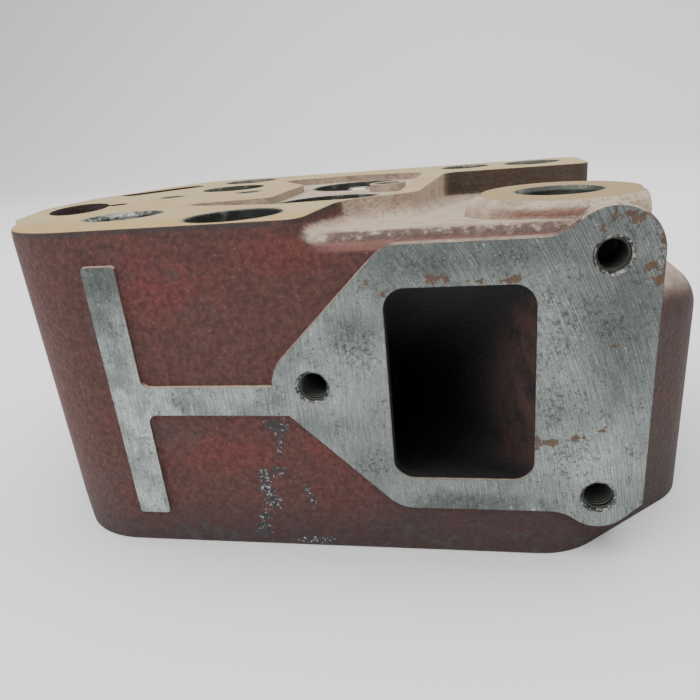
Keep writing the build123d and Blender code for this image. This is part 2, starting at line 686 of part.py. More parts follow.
# Valve gear: every piece is turned about the axis of its valve
for name, valve in VALVES.items():
    axis = Plane(origin=(VALVE_X, valve["y"], 0))
    head = valve["head"]
    face_sum = head + MARGIN_Z

    # Seat insert, with its 45 degree face just clear of the closed valve
    with BuildPart() as seat_insert:
        turned(
            [
                (valve["insert"], 0),
                (valve["insert"], INSERT_HEIGHT),
                (valve["throat"], INSERT_HEIGHT),
                (valve["throat"], face_sum + FACE_GAP - valve["throat"]),
                (head + SEAT_RELIEF, MARGIN_Z - SEAT_RELIEF + FACE_GAP),
                (head + SEAT_RELIEF + MARGIN_Z / 2, 0),
            ],
            axis,
        )
    finish(seat_insert, f"{name}_seat_insert")

    # Valve: flat head, 45 degree face, hollow neck, stem with a collet groove
    with BuildPart() as poppet:
        neck_low = (valve["throat"] - FACE_INSET, face_sum - valve["throat"] + FACE_INSET)
        with BuildSketch(Plane.XZ):
            with BuildLine():
                Polyline(
                    neck_low,
                    (head, MARGIN_Z),
                    (head, HEAD_RECESS),
                    (0, HEAD_RECESS),
                    (0, STEM_TIP),
                    (STEM_RADIUS - TIP_CHAMFER, STEM_TIP),
                    (STEM_RADIUS, STEM_TIP - TIP_CHAMFER),
                    (STEM_RADIUS, GROOVE_Z + GROOVE_HEIGHT / 2),
                    (GROOVE_RADIUS, GROOVE_Z + GROOVE_HEIGHT / 2),
                    (GROOVE_RADIUS, GROOVE_Z - GROOVE_HEIGHT / 2),
                    (STEM_RADIUS, GROOVE_Z - GROOVE_HEIGHT / 2),
                    (STEM_RADIUS, NECK_TOP),
                )
                Spline((STEM_RADIUS, NECK_TOP), neck_low, tangents=((0, -1), (1, NECK_SLOPE)))
            make_face()
        revolve(axis=Axis.Z)
    poppet.part = axis.location * poppet.part
    finish(poppet, f"{name}_valve")

    # Guide, necked at the top for the seal
    with BuildPart() as guide:
        turned(
            [
                (STEM_RADIUS + STEM_CLEARANCE, GUIDE_BOTTOM),
                (GUIDE_RADIUS, GUIDE_BOTTOM),
                (GUIDE_RADIUS, GUIDE_NECK),
                (GUIDE_NECK_RADIUS, GUIDE_NECK),
                (GUIDE_NECK_RADIUS, GUIDE_TOP),
                (STEM_RADIUS + STEM_CLEARANCE, GUIDE_TOP),
            ],
            axis,
        )
    finish(guide, f"{name}_guide")

    # Stem seal: a cap over the guide's neck, with a lip round the stem
    with BuildPart() as stem_seal:
        turned(
            [
                (GUIDE_NECK_RADIUS, GUIDE_NECK),
                (SEAL_RADIUS, GUIDE_NECK),
                (SEAL_RADIUS, GUIDE_TOP + 0.5),
                (GUIDE_NECK_RADIUS, SEAL_TOP),
                (STEM_RADIUS + STEM_CLEARANCE, SEAL_TOP),
                (STEM_RADIUS + STEM_CLEARANCE, GUIDE_TOP),
                (GUIDE_NECK_RADIUS, GUIDE_TOP),
            ],
            axis,
        )
    finish(stem_seal, f"{name}_stem_seal")

    # Spring washer, with a step that centres the outer spring
    with BuildPart() as spring_washer:
        turned(
            [
                (GUIDE_RADIUS, POCKET_FLOOR),
                (WASHER_RADIUS, POCKET_FLOOR),
                (WASHER_RADIUS, POCKET_FLOOR + WASHER_THICKNESS),
                (WASHER_STEP_RADIUS, POCKET_FLOOR + WASHER_THICKNESS),
                (WASHER_STEP_RADIUS, INNER_SPRING_FOOT),
                (GUIDE_RADIUS, INNER_SPRING_FOOT),
            ],
            axis,
        )
    finish(spring_washer, f"{name}_spring_washer")

    # Nested springs, wound opposite ways
    springs = (
        ("outer", OUTER_SPRING, POCKET_FLOOR + WASHER_THICKNESS, RETAINER_UNDERSIDE, OUTER_TURNS, False),
        ("inner", INNER_SPRING, INNER_SPRING_FOOT, RETAINER_STEP, INNER_TURNS, True),
    )
    for layer, (coil_radius, wire_radius), foot, top, turns, lefthand in springs:
        rise = top - foot - 2 * wire_radius
        with BuildPart() as spring:
            with BuildLine(Plane(origin=(VALVE_X, valve["y"], foot + wire_radius))) as wire:
                Helix(rise / turns, rise, coil_radius, lefthand=lefthand)
            with BuildSketch(Plane(origin=wire.line @ 0, z_dir=wire.line % 0)):
                Circle(wire_radius)
            sweep(path=wire.line, is_frenet=True)
        finish(spring, f"{name}_{layer}_spring")

    # Retainer, with a taper bore for the collets
    collet_slope = (COLLET_TOP_RADIUS - COLLET_BOTTOM_RADIUS) / (RETAINER_TOP - RETAINER_BOTTOM)
    with BuildPart() as retainer:
        turned(
            [
                (COLLET_BOTTOM_RADIUS, RETAINER_BOTTOM),
                (RETAINER_HUB_RADIUS, RETAINER_BOTTOM),
                (RETAINER_HUB_RADIUS, RETAINER_STEP),
                (WASHER_STEP_RADIUS, RETAINER_STEP),
                (WASHER_STEP_RADIUS, RETAINER_UNDERSIDE),
                (RETAINER_RADIUS, RETAINER_UNDERSIDE),
                (RETAINER_RADIUS, RETAINER_TOP - RETAINER_DISH),
                (RETAINER_RADIUS - RETAINER_DISH, RETAINER_TOP),
                (COLLET_TOP_RADIUS, RETAINER_TOP),
            ],
            axis,
        )
    finish(retainer, f"{name}_retainer")

    # Collets: a taper ring with a bead for the groove, split into halves
    with BuildPart() as collets:
        turned(
            [
                (STEM_RADIUS, RETAINER_BOTTOM + COLLET_INSET),
                (COLLET_BOTTOM_RADIUS + collet_slope * COLLET_INSET, RETAINER_BOTTOM + COLLET_INSET),
                (COLLET_TOP_RADIUS, RETAINER_TOP),
                (COLLET_TOP_RADIUS, COLLET_TOP),
                (STEM_RADIUS, COLLET_TOP),
                (STEM_RADIUS, GROOVE_Z + GROOVE_HEIGHT / 2),
                (GROOVE_RADIUS, GROOVE_Z + GROOVE_HEIGHT / 2),
                (GROOVE_RADIUS, GROOVE_Z - GROOVE_HEIGHT / 2),
                (STEM_RADIUS, GROOVE_Z - GROOVE_HEIGHT / 2),
            ],
            axis,
        )
        with Locations((VALVE_X, valve["y"], RETAINER_TOP)):
            Box(COLLET_GAP, 4 * COLLET_TOP_RADIUS, HEAD_HEIGHT, mode=Mode.SUBTRACT)
    finish(collets, f"{name}_collets")
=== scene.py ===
import json
from math import pi, radians

import bpy
import numpy as np
from bpy.props import FloatProperty, FloatVectorProperty, IntProperty, PointerProperty
from bpy.types import NodeSocket, Operator, Panel, PropertyGroup
from mathutils import Matrix, Vector


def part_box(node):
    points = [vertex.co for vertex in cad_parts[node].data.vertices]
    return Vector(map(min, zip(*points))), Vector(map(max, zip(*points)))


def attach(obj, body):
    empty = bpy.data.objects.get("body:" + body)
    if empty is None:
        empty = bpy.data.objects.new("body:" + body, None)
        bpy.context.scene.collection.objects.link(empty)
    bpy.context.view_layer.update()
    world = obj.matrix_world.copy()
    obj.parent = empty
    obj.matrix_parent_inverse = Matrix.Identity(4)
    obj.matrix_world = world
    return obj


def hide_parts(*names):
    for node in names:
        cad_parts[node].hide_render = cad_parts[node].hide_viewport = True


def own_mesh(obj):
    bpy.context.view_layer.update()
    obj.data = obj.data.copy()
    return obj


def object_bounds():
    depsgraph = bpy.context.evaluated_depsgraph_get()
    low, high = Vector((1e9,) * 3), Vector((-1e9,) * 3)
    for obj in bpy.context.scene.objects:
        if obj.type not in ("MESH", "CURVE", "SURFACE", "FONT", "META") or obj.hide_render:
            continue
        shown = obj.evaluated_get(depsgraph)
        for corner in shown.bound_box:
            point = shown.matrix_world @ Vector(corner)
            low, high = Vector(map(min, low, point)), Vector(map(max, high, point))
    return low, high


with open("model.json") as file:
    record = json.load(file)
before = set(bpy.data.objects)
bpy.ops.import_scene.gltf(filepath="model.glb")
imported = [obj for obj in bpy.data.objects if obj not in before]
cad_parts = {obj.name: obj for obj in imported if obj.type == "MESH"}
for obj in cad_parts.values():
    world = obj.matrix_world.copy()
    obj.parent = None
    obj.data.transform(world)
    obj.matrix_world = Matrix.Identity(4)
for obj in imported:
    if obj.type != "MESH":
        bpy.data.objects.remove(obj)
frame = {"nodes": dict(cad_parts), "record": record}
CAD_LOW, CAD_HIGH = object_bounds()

bl_info = {
    "name": "Diesel cylinder head",
    "version": (1, 0, 0),
    "blender": (4, 5, 0),
    "location": "3D View > Sidebar > Cylinder Head",
    "description": "Cast, milled and turned finishes, coil springs and threads of a small diesel cylinder head",
    "category": "Object",
}

MM = 0.001
MOUNTS = {mount["name"]: mount for mount in frame["record"]["mounts"]}
FLANGE_Y = CAD_LOW.y
REAR_Y = CAD_HIGH.y
TOP_Z = CAD_HIGH.z


def mount_place(name):
    """Place of a mount, as a vector in metres."""
    return Vector(MOUNTS[name]["pos_m"])


def on_face(place, axis, level):
    """A place moved along one axis to a face."""
    moved = Vector(place)
    moved[axis] = level
    return moved


def corners(name):
    """Places of the holes of a bolt pattern: two along its first spacing, or four round its middle."""
    middle, dims, axis = mount_place(name), MOUNTS[name]["dims"], MOUNTS[name]["axis"]
    across = Vector((dims["spacing_x_mm"] * MM / 2, 0, 0))
    rise = dims.get("spacing_y_mm", 0) * MM / 2
    up = Vector((0, 0, rise)) if abs(axis[1]) > 0.5 else Vector((0, rise, 0))
    ways = [(-1, -1), (-1, 1), (1, -1), (1, 1)] if rise else [(-1, 0), (1, 0)]
    return [middle + i * across + j * up for i, j in ways]


FLANGE_SIDES = ("left", "upper", "lower")
FLANGE_HOLES = [on_face(mount_place(f"intake_flange_hole_{side}"), 1, FLANGE_Y) for side in FLANGE_SIDES]
REAR_HOLES = [on_face(place, 1, REAR_Y) for place in corners("exhaust_flange_holes")]
CLAMP_HOLES = [on_face(place, 2, TOP_Z) for place in corners("injector_clamp_holes")]
PEDESTAL_HOLE = on_face(mount_place("rocker_pedestal_hole"), 2, TOP_Z)
BOLT_HOLES = corners("head_bolts")
# Where the leaning sleeve bore meets the top face, and how far it moves sideways for each metre down
SLEEVE_TOP = (-58.1 * MM, 21.0 * MM, TOP_Z)
SLEEVE_LEAN = (34.1 / 94.5, -21.0 / 94.5)
BOLT_RADIUS = 10.5 * MM
TAPPED_RADIUS = 4.0 * MM
PUSHROD_RADIUS = 13.0 * MM
DRAIN_RADIUS = 9.5 * MM
POCKET_RADIUS = 17.5 * MM
UNDER_POCKETS = 49.0 * MM
SLEEVE_BORE_RADIUS = 13.0 * MM
SOFT = 0.2 * MM
VALVE_AXES = {name: sum(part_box(f"{name}_valve"), Vector()) / 2 for name in ("intake", "exhaust")}


# ------------------------------------------------------------------ sizes and colours


def length(name, description, millimetres):
    """A length whose default is given in millimetres."""
    return FloatProperty(
        name=name, description=description, default=millimetres * MM, min=0.0, unit="LENGTH", precision=5
    )


def share(name, description, default):
    """A share of one."""
    return FloatProperty(
        name=name, description=description, default=default, min=0.0, max=1.0, subtype="FACTOR"
    )


def colour(name, description, default):
    """A colour, as red, green and blue."""
    return FloatVectorProperty(
        name=name, description=description, default=default, min=0.0, max=1.0, size=3, subtype="COLOR"
    )


class CastingFinish(PropertyGroup):
    """Colours and grain of the primed casting and its milled faces."""

    primer: colour("Primer", "Red-brown primer of the upright walls", (0.072, 0.0222, 0.0172))
    primer_red: colour("Red primer", "Redder patches of the primer", (0.108, 0.0205, 0.0155))
    primer_grey: colour("Rubbed primer", "Purplish grey where the primer is thin", (0.062, 0.032, 0.030))
    # The dust colour also stands in for painted light on the faces that look up
    dust: colour("Dust", "Pinkish tan dust on cast skin that faces up", (0.480, 0.385, 0.285))
    # Painted shade of the strip's front wall, darkened in blotches
    strip_wall_shade: colour("Grime", "Dark dirt of the strip's wall and the foot", (0.024, 0.011, 0.006))
    milled: colour("Milled iron", "Bright grey of the milled pads", (0.315, 0.350, 0.340))
    milled_dull: colour("Dull iron", "Darker clouds of the milled pads", (0.165, 0.187, 0.180))
    milled_dark: colour("Dark flecks", "Pits and stains of the milled pads", (0.040, 0.042, 0.036))
    rust: colour("Rust", "Brown rust on the edges of the milled pads", (0.090, 0.048, 0.024))
    oiled: colour("Oiled iron", "Tan preservative on the milled top face", (0.405, 0.285, 0.122))
    oiled_pale: colour("Pale oil", "Thinner preservative on the milled top face", (0.425, 0.325, 0.170))
    oiled_amber: colour("Amber oil", "Deeper preservative along the edges of the top face", (0.440, 0.285, 0.080))
    # Near black: oily iron, darkened as painted shade inside the bores
    bore: colour("Bored iron", "Oily walls of the machined bores", (0.030, 0.034, 0.028))
    # Near black: painted shade inside the ports and openings
    duct: colour("Port skin", "Dark cast walls inside the ports", (0.006, 0.006, 0.006))
    grain: length("Sand grain", "Size of the lumps of the cast skin", 1.5)
    grain_height: length("Grain height", "Depth of the lumps of the cast skin", 0.85)
    mill_pitch: length("Milling pitch", "Distance between milling lines", 0.68)
    mill_height: length("Milling height", "Depth of the milling lines", 0.012)


class ThreadSizes(PropertyGroup):
    """Sizes of the threads in the tapped holes."""

    pitch: length("Pitch", "Advance of one turn of the thread", 1.25)
    depth: length("Depth", "Height of the thread's ridge above the wall of the hole", 0.62)
    lead_in: length("Lead-in", "Depth below the face at which the thread starts", 0.9)
    segments: IntProperty(name="Segments", description="Faces in one turn", default=40, min=12, max=96)


class SpringSizes(PropertyGroup):
    """Sizes of the valve springs' ends."""

    closed_turns: FloatProperty(
        name="Closed turns", description="Turns at each end that lie flat on the next", default=0.9, min=0.25, max=2.0
    )
    ground: share("Ground", "Share of the wire's thickness ground away at each end", 0.5)
    steps: IntProperty(name="Steps", description="Sections of wire in one turn", default=56, min=16, max=120)
    sides: IntProperty(name="Sides", description="Sides of the wire's section", default=20, min=8, max=48)


class MetalColours(PropertyGroup):
    """Colours of the turned, ground and pressed small parts."""

    steel: colour("Ground steel", "Valve stems and heads", (0.560, 0.560, 0.575))
    hot_steel: colour("Exhaust steel", "Exhaust valve, straw-coloured by heat", (0.480, 0.440, 0.370))
    dark_steel: colour("Dark steel", "Retainers, washers and springs", (0.090, 0.095, 0.105))
    seat: colour("Seat alloy", "Ground valve seats", (0.500, 0.500, 0.510))
    iron: colour("Turned iron", "Valve guides", (0.260, 0.260, 0.265))
    brass: colour("Brass", "Injector sleeve", (0.640, 0.430, 0.190))
    copper: colour("Copper", "Injector seat washer", (0.640, 0.290, 0.170))
    zinc: colour("Zinc", "Pressed core plugs", (0.520, 0.500, 0.430))
    rubber: colour("Rubber", "Stem seals and sleeve ring", (0.020, 0.020, 0.021))


class StageSettings(PropertyGroup):
    """Floor, lights and camera."""

    floor: colour("Floor", "Colour of the floor and backdrop", (0.90, 0.90, 0.90))
    overhead: FloatProperty(name="Overhead light", description="Power of the overhead light", default=13.0, min=0.0)
    front: FloatProperty(name="Front light", description="Power of the front light", default=3.0, min=0.0)
    ambient: FloatProperty(name="Ambient", description="Strength of the surrounding light", default=0.62, min=0.0)
    backdrop: FloatProperty(
        name="Backdrop light", description="Power of the light on the backdrop", default=70.0, min=0.0
    )
    lens: FloatProperty(name="Lens", description="Focal length of the camera", default=31.92, min=1.0, unit="CAMERA")


# ------------------------------------------------------------------ finishes


class Finish:
    """A procedural finish. Its methods add nodes and return the socket that carries their result."""

    def __init__(self, name):
        self.material = bpy.data.materials.new(name)
        self.material.use_nodes = True
        self.tree = self.material.node_tree
        self.tree.nodes.clear()
        self.shader = self.tree.nodes.new("ShaderNodeBsdfPrincipled")
        output = self.tree.nodes.new("ShaderNodeOutputMaterial")
        self.tree.links.new(self.shader.outputs[0], output.inputs["Surface"])
        self.place = self.add("ShaderNodeTexCoord").outputs["Object"]
        self.x, self.y, self.z = self.add("ShaderNodeSeparateXYZ", {0: self.place}).outputs[:]
        facing = self.add("ShaderNodeNewGeometry").outputs["Normal"]
        self.facing_x, self.facing_y, self.facing_z = self.add("ShaderNodeSeparateXYZ", {0: facing}).outputs[:]
        self.plan = self.add("ShaderNodeCombineXYZ", {0: self.x, 1: self.y}).outputs[0]
        self.front = self.add("ShaderNodeCombineXYZ", {0: self.x, 2: self.z}).outputs[0]

    def feed(self, socket, value):
        """Links a socket, or sets its value. A colour gets full opacity."""
        if isinstance(value, NodeSocket):
            self.tree.links.new(value, socket)
        elif socket.type == "RGBA":
            socket.default_value = (*value[:3], 1.0)
        else:
            socket.default_value = value

    def add(self, kind, inputs=None, **settings):
        """Adds a node, with its settings and inputs."""
        node = self.tree.nodes.new(kind)
        for key, value in settings.items():
            setattr(node, key, value)
        for key, value in (inputs or {}).items():
            self.feed(node.inputs[key], value)
        return node

    def sum(self, operation, *values, clamp=False):
        """One arithmetic step."""
        return self.add(
            "ShaderNodeMath", dict(enumerate(values)), operation=operation, use_clamp=clamp
        ).outputs[0]

    def both(self, *masks):
        """Masks multiplied together."""
        result = masks[0]
        for mask in masks[1:]:
            result = self.sum("MULTIPLY", result, mask)
        return result

    def either(self, *masks):
        """The greatest of several masks."""
        result = masks[0]
        for mask in masks[1:]:
            result = self.sum("MAXIMUM", result, mask)
        return result

    def rise(self, value, low, high, top=1.0):
        """Runs smoothly from 0 at low to top at high. Falls if low is above high."""
        return self.add(
            "ShaderNodeMapRange",
            {"Value": value, "From Min": low, "From Max": high, "To Min": 0.0, "To Max": top},
            interpolation_type="SMOOTHSTEP",
        ).outputs[0]

    def band(self, value, low, high, soft):
        """1 between low and high, and 0 outside them, over a soft edge."""
        return self.both(self.rise(value, low - soft, low + soft), self.rise(value, high + soft, high - soft))

    def noise(self, size, detail=3.0, rough=0.55, place=None, skew=0.0):
        """Cloudy noise whose lumps are size across."""
        inputs = {"Vector": place or self.place, "Scale": 1 / size, "Detail": detail, "Roughness": rough}
        return self.add("ShaderNodeTexNoise", {**inputs, "Distortion": skew}).outputs[0]

    def cells(self, size, place=None):
        """Distance to the nearest of scattered points that are size apart."""
        inputs = {"Vector": place or self.place, "Scale": 1 / size}
        return self.add("ShaderNodeTexVoronoi", inputs).outputs["Distance"]

    def distance(self, plane, point):
        """Distance from a point within a plane."""
        return self.add("ShaderNodeVectorMath", {0: plane, 1: point}, operation="DISTANCE").outputs["Value"]

    def gap(self, plane, circles):
        """Distance outside the nearest of several circles, less than 0 inside one."""
        result = None
        for point, radius in circles:
            gap = self.sum("SUBTRACT", self.distance(plane, point), radius)
            result = self.sum("MINIMUM", result, gap) if result else gap
        return result

    def warp(self, size, reach):
        """The place on an upright face, pushed about by noise up to reach each way, so that outlines are ragged."""
        sideways = self.sum("MULTIPLY_ADD", self.noise(size, 4.0, 0.65, self.front), 4 * reach, -2 * reach)
        upwards = self.sum("MULTIPLY_ADD", self.noise(size, 4.0, 0.65), 4 * reach, -2 * reach)
        along, up = self.sum("ADD", self.x, sideways), self.sum("ADD", self.z, upwards)
        return self.add("ShaderNodeCombineXYZ", {0: along, 2: up}).outputs[0]

    def patch(self, plane, middle, reach):
        """Falls from 1 at the middle of an ellipse to 0 on its outline, and below 0 outside it."""
        scale = tuple(1 / r if r else 0.0 for r in reach)
        shift = tuple(-m * s for m, s in zip(middle, scale))
        local = self.add("ShaderNodeVectorMath", {0: plane, 1: scale, 2: shift}, operation="MULTIPLY_ADD").outputs[0]
        span = self.add("ShaderNodeVectorMath", {0: local}, operation="LENGTH").outputs["Value"]
        return self.sum("SUBTRACT", 1.0, span)

    def turned(self, plane, middle, angle):
        """The place seen from a middle point, on axes turned about the upright."""
        inputs = {"Vector": plane, "Location": middle, "Rotation": (0, 0, radians(angle))}
        return self.add("ShaderNodeMapping", inputs, vector_type="TEXTURE").outputs[0]

    def patches(self, plane, spots):
        """Greatest of several patches on an upright face, each given by its place and reach in millimetres."""
        result = None
        for (u, w), (a, b) in spots:
            spot = self.patch(plane, (u * MM, 0, w * MM), (a * MM, 0, b * MM))
            result = self.sum("MAXIMUM", result, spot) if result else spot
        return result

    def blend_value(self, amount, first, second):
        """Second number laid over the first."""
        return self.add("ShaderNodeMix", {0: amount, 2: first, 3: second}).outputs[0]

    def mix(self, amount, first, second):
        """Second colour laid over the first."""
        return self.add("ShaderNodeMix", {0: amount, 4: first, 5: second}, data_type="VECTOR").outputs[1]

    def shade(self, base, amount):
        """A colour made darker or lighter by a factor."""
        return self.add("ShaderNodeVectorMath", {0: base, "Scale": amount}, operation="SCALE").outputs[0]

    def bump(self, height, metres, normal=None, strength=1.0):
        """Raises the surface by height, which runs from 0 to 1, times metres."""
        inputs = {"Height": height, "Distance": metres, "Strength": strength}
        if normal:
            inputs["Normal"] = normal
        return self.add("ShaderNodeBump", inputs).outputs[0]

    def finish(self, **inputs):
        """Feeds the shader's sockets by name and returns the material."""
        for key, value in inputs.items():
            self.feed(self.shader.inputs[key.replace("_", " ")], value)
        return self.material


def flat(point, axis):
    """A point with one of its coordinates set to nothing."""
    kept = Vector(point)
    kept[axis] = 0.0
    return kept


def casting_finish(sizes):
    """Primed cast skin, ledges with dust and painted light, milled pads, oiled top face and machined bores in one
    finish, with painted light and shade on walls and inside the ports and bores.
    """
    f = Finish("primed_and_milled_iron")
    place = f.place
    broad = f.noise(34 * MM, 3.0, 0.6)
    cloud = f.noise(9 * MM, 4.0, 0.6)
    blotch = f.noise(3.2 * MM, 4.0, 0.7)
    speckle = f.noise(1.1 * MM, 2.0, 0.7)
    fine = f.noise(0.5 * MM, 2.0, 0.6)
    grain = f.noise(sizes.grain, 3.0, 0.62)
    coarse = f.noise(sizes.grain * 3.2, 3.0, 0.6)
    warped = f.warp(2.6 * MM, 1.6 * MM)

    # Where each finish lies
    at_top = f.both(f.rise(f.z, TOP_Z - 0.16 * MM, TOP_Z - 0.06 * MM), f.rise(f.facing_z, 0.80, 0.92))
    on_flange = f.both(f.rise(f.y, FLANGE_Y + 0.14 * MM, FLANGE_Y + 0.05 * MM), f.rise(f.facing_y, -0.80, -0.92))
    on_rear = f.both(f.rise(f.y, REAR_Y - 0.14 * MM, REAR_Y - 0.05 * MM), f.rise(f.facing_y, 0.80, 0.92))
    on_deck = f.rise(f.z, 0.12 * MM, 0.04 * MM)
    pockets = [(flat(p, 2), POCKET_RADIUS) for p in VALVE_AXES.values()]
    upright = [(flat(p, 2), BOLT_RADIUS) for p in BOLT_HOLES]
    upright += [
        (flat(mount_place("pushrod_bore"), 2), PUSHROD_RADIUS),
        (flat(mount_place("oil_drain_bore"), 2), DRAIN_RADIUS),
        (flat(PEDESTAL_HOLE, 2), TAPPED_RADIUS),
    ]
    upright += [(flat(p, 2), TAPPED_RADIUS) for p in CLAMP_HOLES]
    upright += pockets
    bore_gap = f.gap(f.plan, upright)
    hole_gap = f.gap(f.front, [(flat(p, 1), TAPPED_RADIUS) for p in FLANGE_HOLES])
    rear_gap = f.gap(f.front, [(flat(p, 1), TAPPED_RADIUS) for p in REAR_HOLES])
    below_top = f.rise(f.z, TOP_Z - 0.05 * MM, TOP_Z - 0.14 * MM)
    sunk = f.sum("SUBTRACT", TOP_Z, f.z)
    lean_x = f.sum("MULTIPLY_ADD", sunk, -SLEEVE_LEAN[0], f.x)
    lean_y = f.sum("MULTIPLY_ADD", sunk, -SLEEVE_LEAN[1], f.y)
    lean = f.add("ShaderNodeCombineXYZ", {0: lean_x, 1: lean_y}).outputs[0]
    sleeve_gap = f.sum("SUBTRACT", f.distance(lean, flat(SLEEVE_TOP, 2)), SLEEVE_BORE_RADIUS)
    bored = f.either(
        f.both(f.rise(bore_gap, 1.45 * MM, 1.25 * MM), below_top, f.rise(f.z, 0.02 * MM, 0.1 * MM)),
        f.both(f.rise(sleeve_gap, 0.5 * MM, 0.3 * MM), below_top),
        f.both(
            f.rise(hole_gap, 1.1 * MM, 0.9 * MM), f.rise(f.y, -60 * MM, -66 * MM),
            f.rise(f.y, FLANGE_Y, FLANGE_Y + 0.1 * MM),
        ),
        f.both(
            f.rise(rear_gap, 1.1 * MM, 0.9 * MM), f.rise(f.y, 58 * MM, 60 * MM),
            f.rise(f.y, REAR_Y, REAR_Y - 0.1 * MM),
        ),
    )
    pocketed = f.both(
        f.rise(f.gap(f.plan, pockets), 0.3 * MM, 0.1 * MM),
        f.rise(f.z, UNDER_POCKETS - 0.5 * MM, UNDER_POCKETS + 0.5 * MM), below_top,
    )
    milled = f.either(on_flange, on_rear, on_deck, at_top)
    machined = f.either(milled, bored, pocketed)
    mouth = f.both(
        f.band(f.x, 18.2 * MM, 56.5 * MM, SOFT), f.band(f.z, 23.3 * MM, 77.7 * MM, SOFT),
        f.rise(f.y, FLANGE_Y + 0.2 * MM, FLANGE_Y + 0.9 * MM), f.rise(f.y, 0.0, -5 * MM),
    )
    rear_mouth = f.both(
        f.band(f.x, -22.3 * MM, 9.1 * MM, SOFT), f.band(f.z, 16.6 * MM, 51.4 * MM, SOFT),
        f.rise(f.y, REAR_Y - 0.2 * MM, REAR_Y - 0.9 * MM), f.rise(f.y, 30 * MM, 36 * MM),
    )
    duct = f.both(
        f.band(f.x, 8 * MM, 57 * MM, SOFT), f.band(f.z, 12 * MM, 78.5 * MM, SOFT),
        f.rise(f.y, -84.7 * MM, -84.3 * MM), f.rise(f.y, 0.0, -5 * MM),
    )
    rear_duct = f.both(
        f.band(f.x, -28 * MM, 15 * MM, SOFT), f.band(f.z, 10 * MM, 56 * MM, SOFT),
        f.rise(f.y, 71.3 * MM, 70.9 * MM), f.rise(f.y, 30 * MM, 36 * MM),
    )
    inner = f.both(
        f.band(f.x, -85 * MM, 80 * MM, 1 * MM), f.band(f.y, -70 * MM, 60 * MM, 1 * MM),
        f.band(f.z, 1 * MM, 80 * MM, 0.5 * MM),
    )
    openings = [((-97, -26), (10.6, 20.8), 25), ((-86.5, -19), (4.4, 4.4), 0), ((-95, 33), (20.4, 7.0), 55)]
    down = [
        f.patch(f.turned(f.plan, (u * MM, v * MM, 0), turn), (0, 0, 0), (a * MM, b * MM, 0))
        for (u, v), (a, b), turn in openings
    ]
    down = f.both(f.rise(f.either(*down), -0.01, 0.01), below_top)
    inside = f.either(mouth, rear_mouth, duct, rear_duct, inner, down)

    # Cast skin of the upright walls
    red = f.both(f.rise(broad, 0.48, 0.68, 0.6), f.rise(cloud, 0.30, 0.60))
    redder = [
        ((-41, 79), (27, 15)), ((-6, 86), (22, 8)), ((26, 64), (12, 16)), ((-30, 30), (26, 9)), ((2, 33), (14, 8)),
    ]
    red = f.either(red, f.both(f.rise(f.patches(warped, redder), 0.0, 0.9, 0.85), f.rise(f.facing_z, 0.5, 0.2)))
    skin = f.mix(red, sizes.primer, sizes.primer_red)
    grey = f.rise(f.noise(15 * MM, 4.0, 0.65, skew=0.4), 0.50, 0.72, 0.8)
    skin = f.mix(grey, skin, sizes.primer_grey)
    left_wear = f.both(f.rise(f.x, -84 * MM, -112 * MM), f.rise(f.z, 90 * MM, 36 * MM), f.rise(f.y, 0.0, -30 * MM))
    skin = f.mix(f.both(left_wear, f.rise(cloud, 0.22, 0.52, 0.9)), skin, (0.34, 0.27, 0.25))
    skin = f.shade(skin, f.sum("MULTIPLY_ADD", grain, 2.3, -0.15))
    # Painted highlights: lighter specks on the tops of the sand grain
    skin = f.mix(f.both(f.rise(fine, 0.60, 0.74), f.rise(grain, 0.46, 0.62), 0.55), skin, (0.30, 0.23, 0.21))
    skin = f.mix(f.rise(speckle, 0.40, 0.22, 0.6), skin, (0.022, 0.011, 0.011))
    # Painted shade: the walls darken towards the floor, in cloudy steps, and below the flange's lower part
    foot = f.rise(f.sum("MULTIPLY_ADD", cloud, -16 * MM, f.z), 12 * MM, -8 * MM)
    foot = f.either(foot, f.both(f.rise(f.z, 30 * MM, 10 * MM), f.rise(f.x, -5 * MM, 25 * MM)))
    skin = f.mix(f.both(foot, 0.70), skin, (0.026, 0.017, 0.018))
    bare = f.both(foot, f.rise(blotch, 0.50, 0.66), f.rise(f.z, 12 * MM, 4 * MM), 0.7)
    skin = f.mix(bare, skin, (0.045, 0.047, 0.048))
    # Painted shade: darker, blotchy walls just below the top face, in its shallow recesses
    under = f.both(f.rise(sunk, 1.9 * MM, 0.7 * MM), f.rise(blotch, 0.30, 0.52, 0.85))
    skin = f.mix(under, skin, (0.030, 0.024, 0.022))

    # Ledges of the shelf, its boss, the shoulder and the well: dust and painted light where they face up, painted
    # shade and stain on the shelf's rim, painted light on its rounded front, painted shade on the shoulder and the
    # strip's wall
    tilt = f.sum("MULTIPLY_ADD", f.sum("SUBTRACT", coarse, 0.5), 0.35, f.facing_z)
    on_shelf = f.both(f.rise(f.z, 81 * MM, 86 * MM), f.rise(f.x, 1 * MM, 9 * MM), f.rise(f.y, 66 * MM, 60 * MM))
    in_well = f.both(
        f.rise(f.z, 88 * MM, 90.5 * MM), f.band(f.x, -58 * MM, 20 * MM, 1 * MM),
        f.band(f.y, -52 * MM, 50 * MM, 1 * MM),
    )
    dust = f.mix(f.rise(f.noise(6 * MM, 3.0, 0.6), 0.42, 0.66, 0.45), sizes.dust, (0.30, 0.165, 0.135))
    dust = f.mix(f.both(f.rise(grain, 0.52, 0.32), 0.5), dust, (0.17, 0.105, 0.080))
    dust = f.mix(f.both(f.rise(fine, 0.58, 0.74), 0.5), dust, (0.62, 0.54, 0.44))
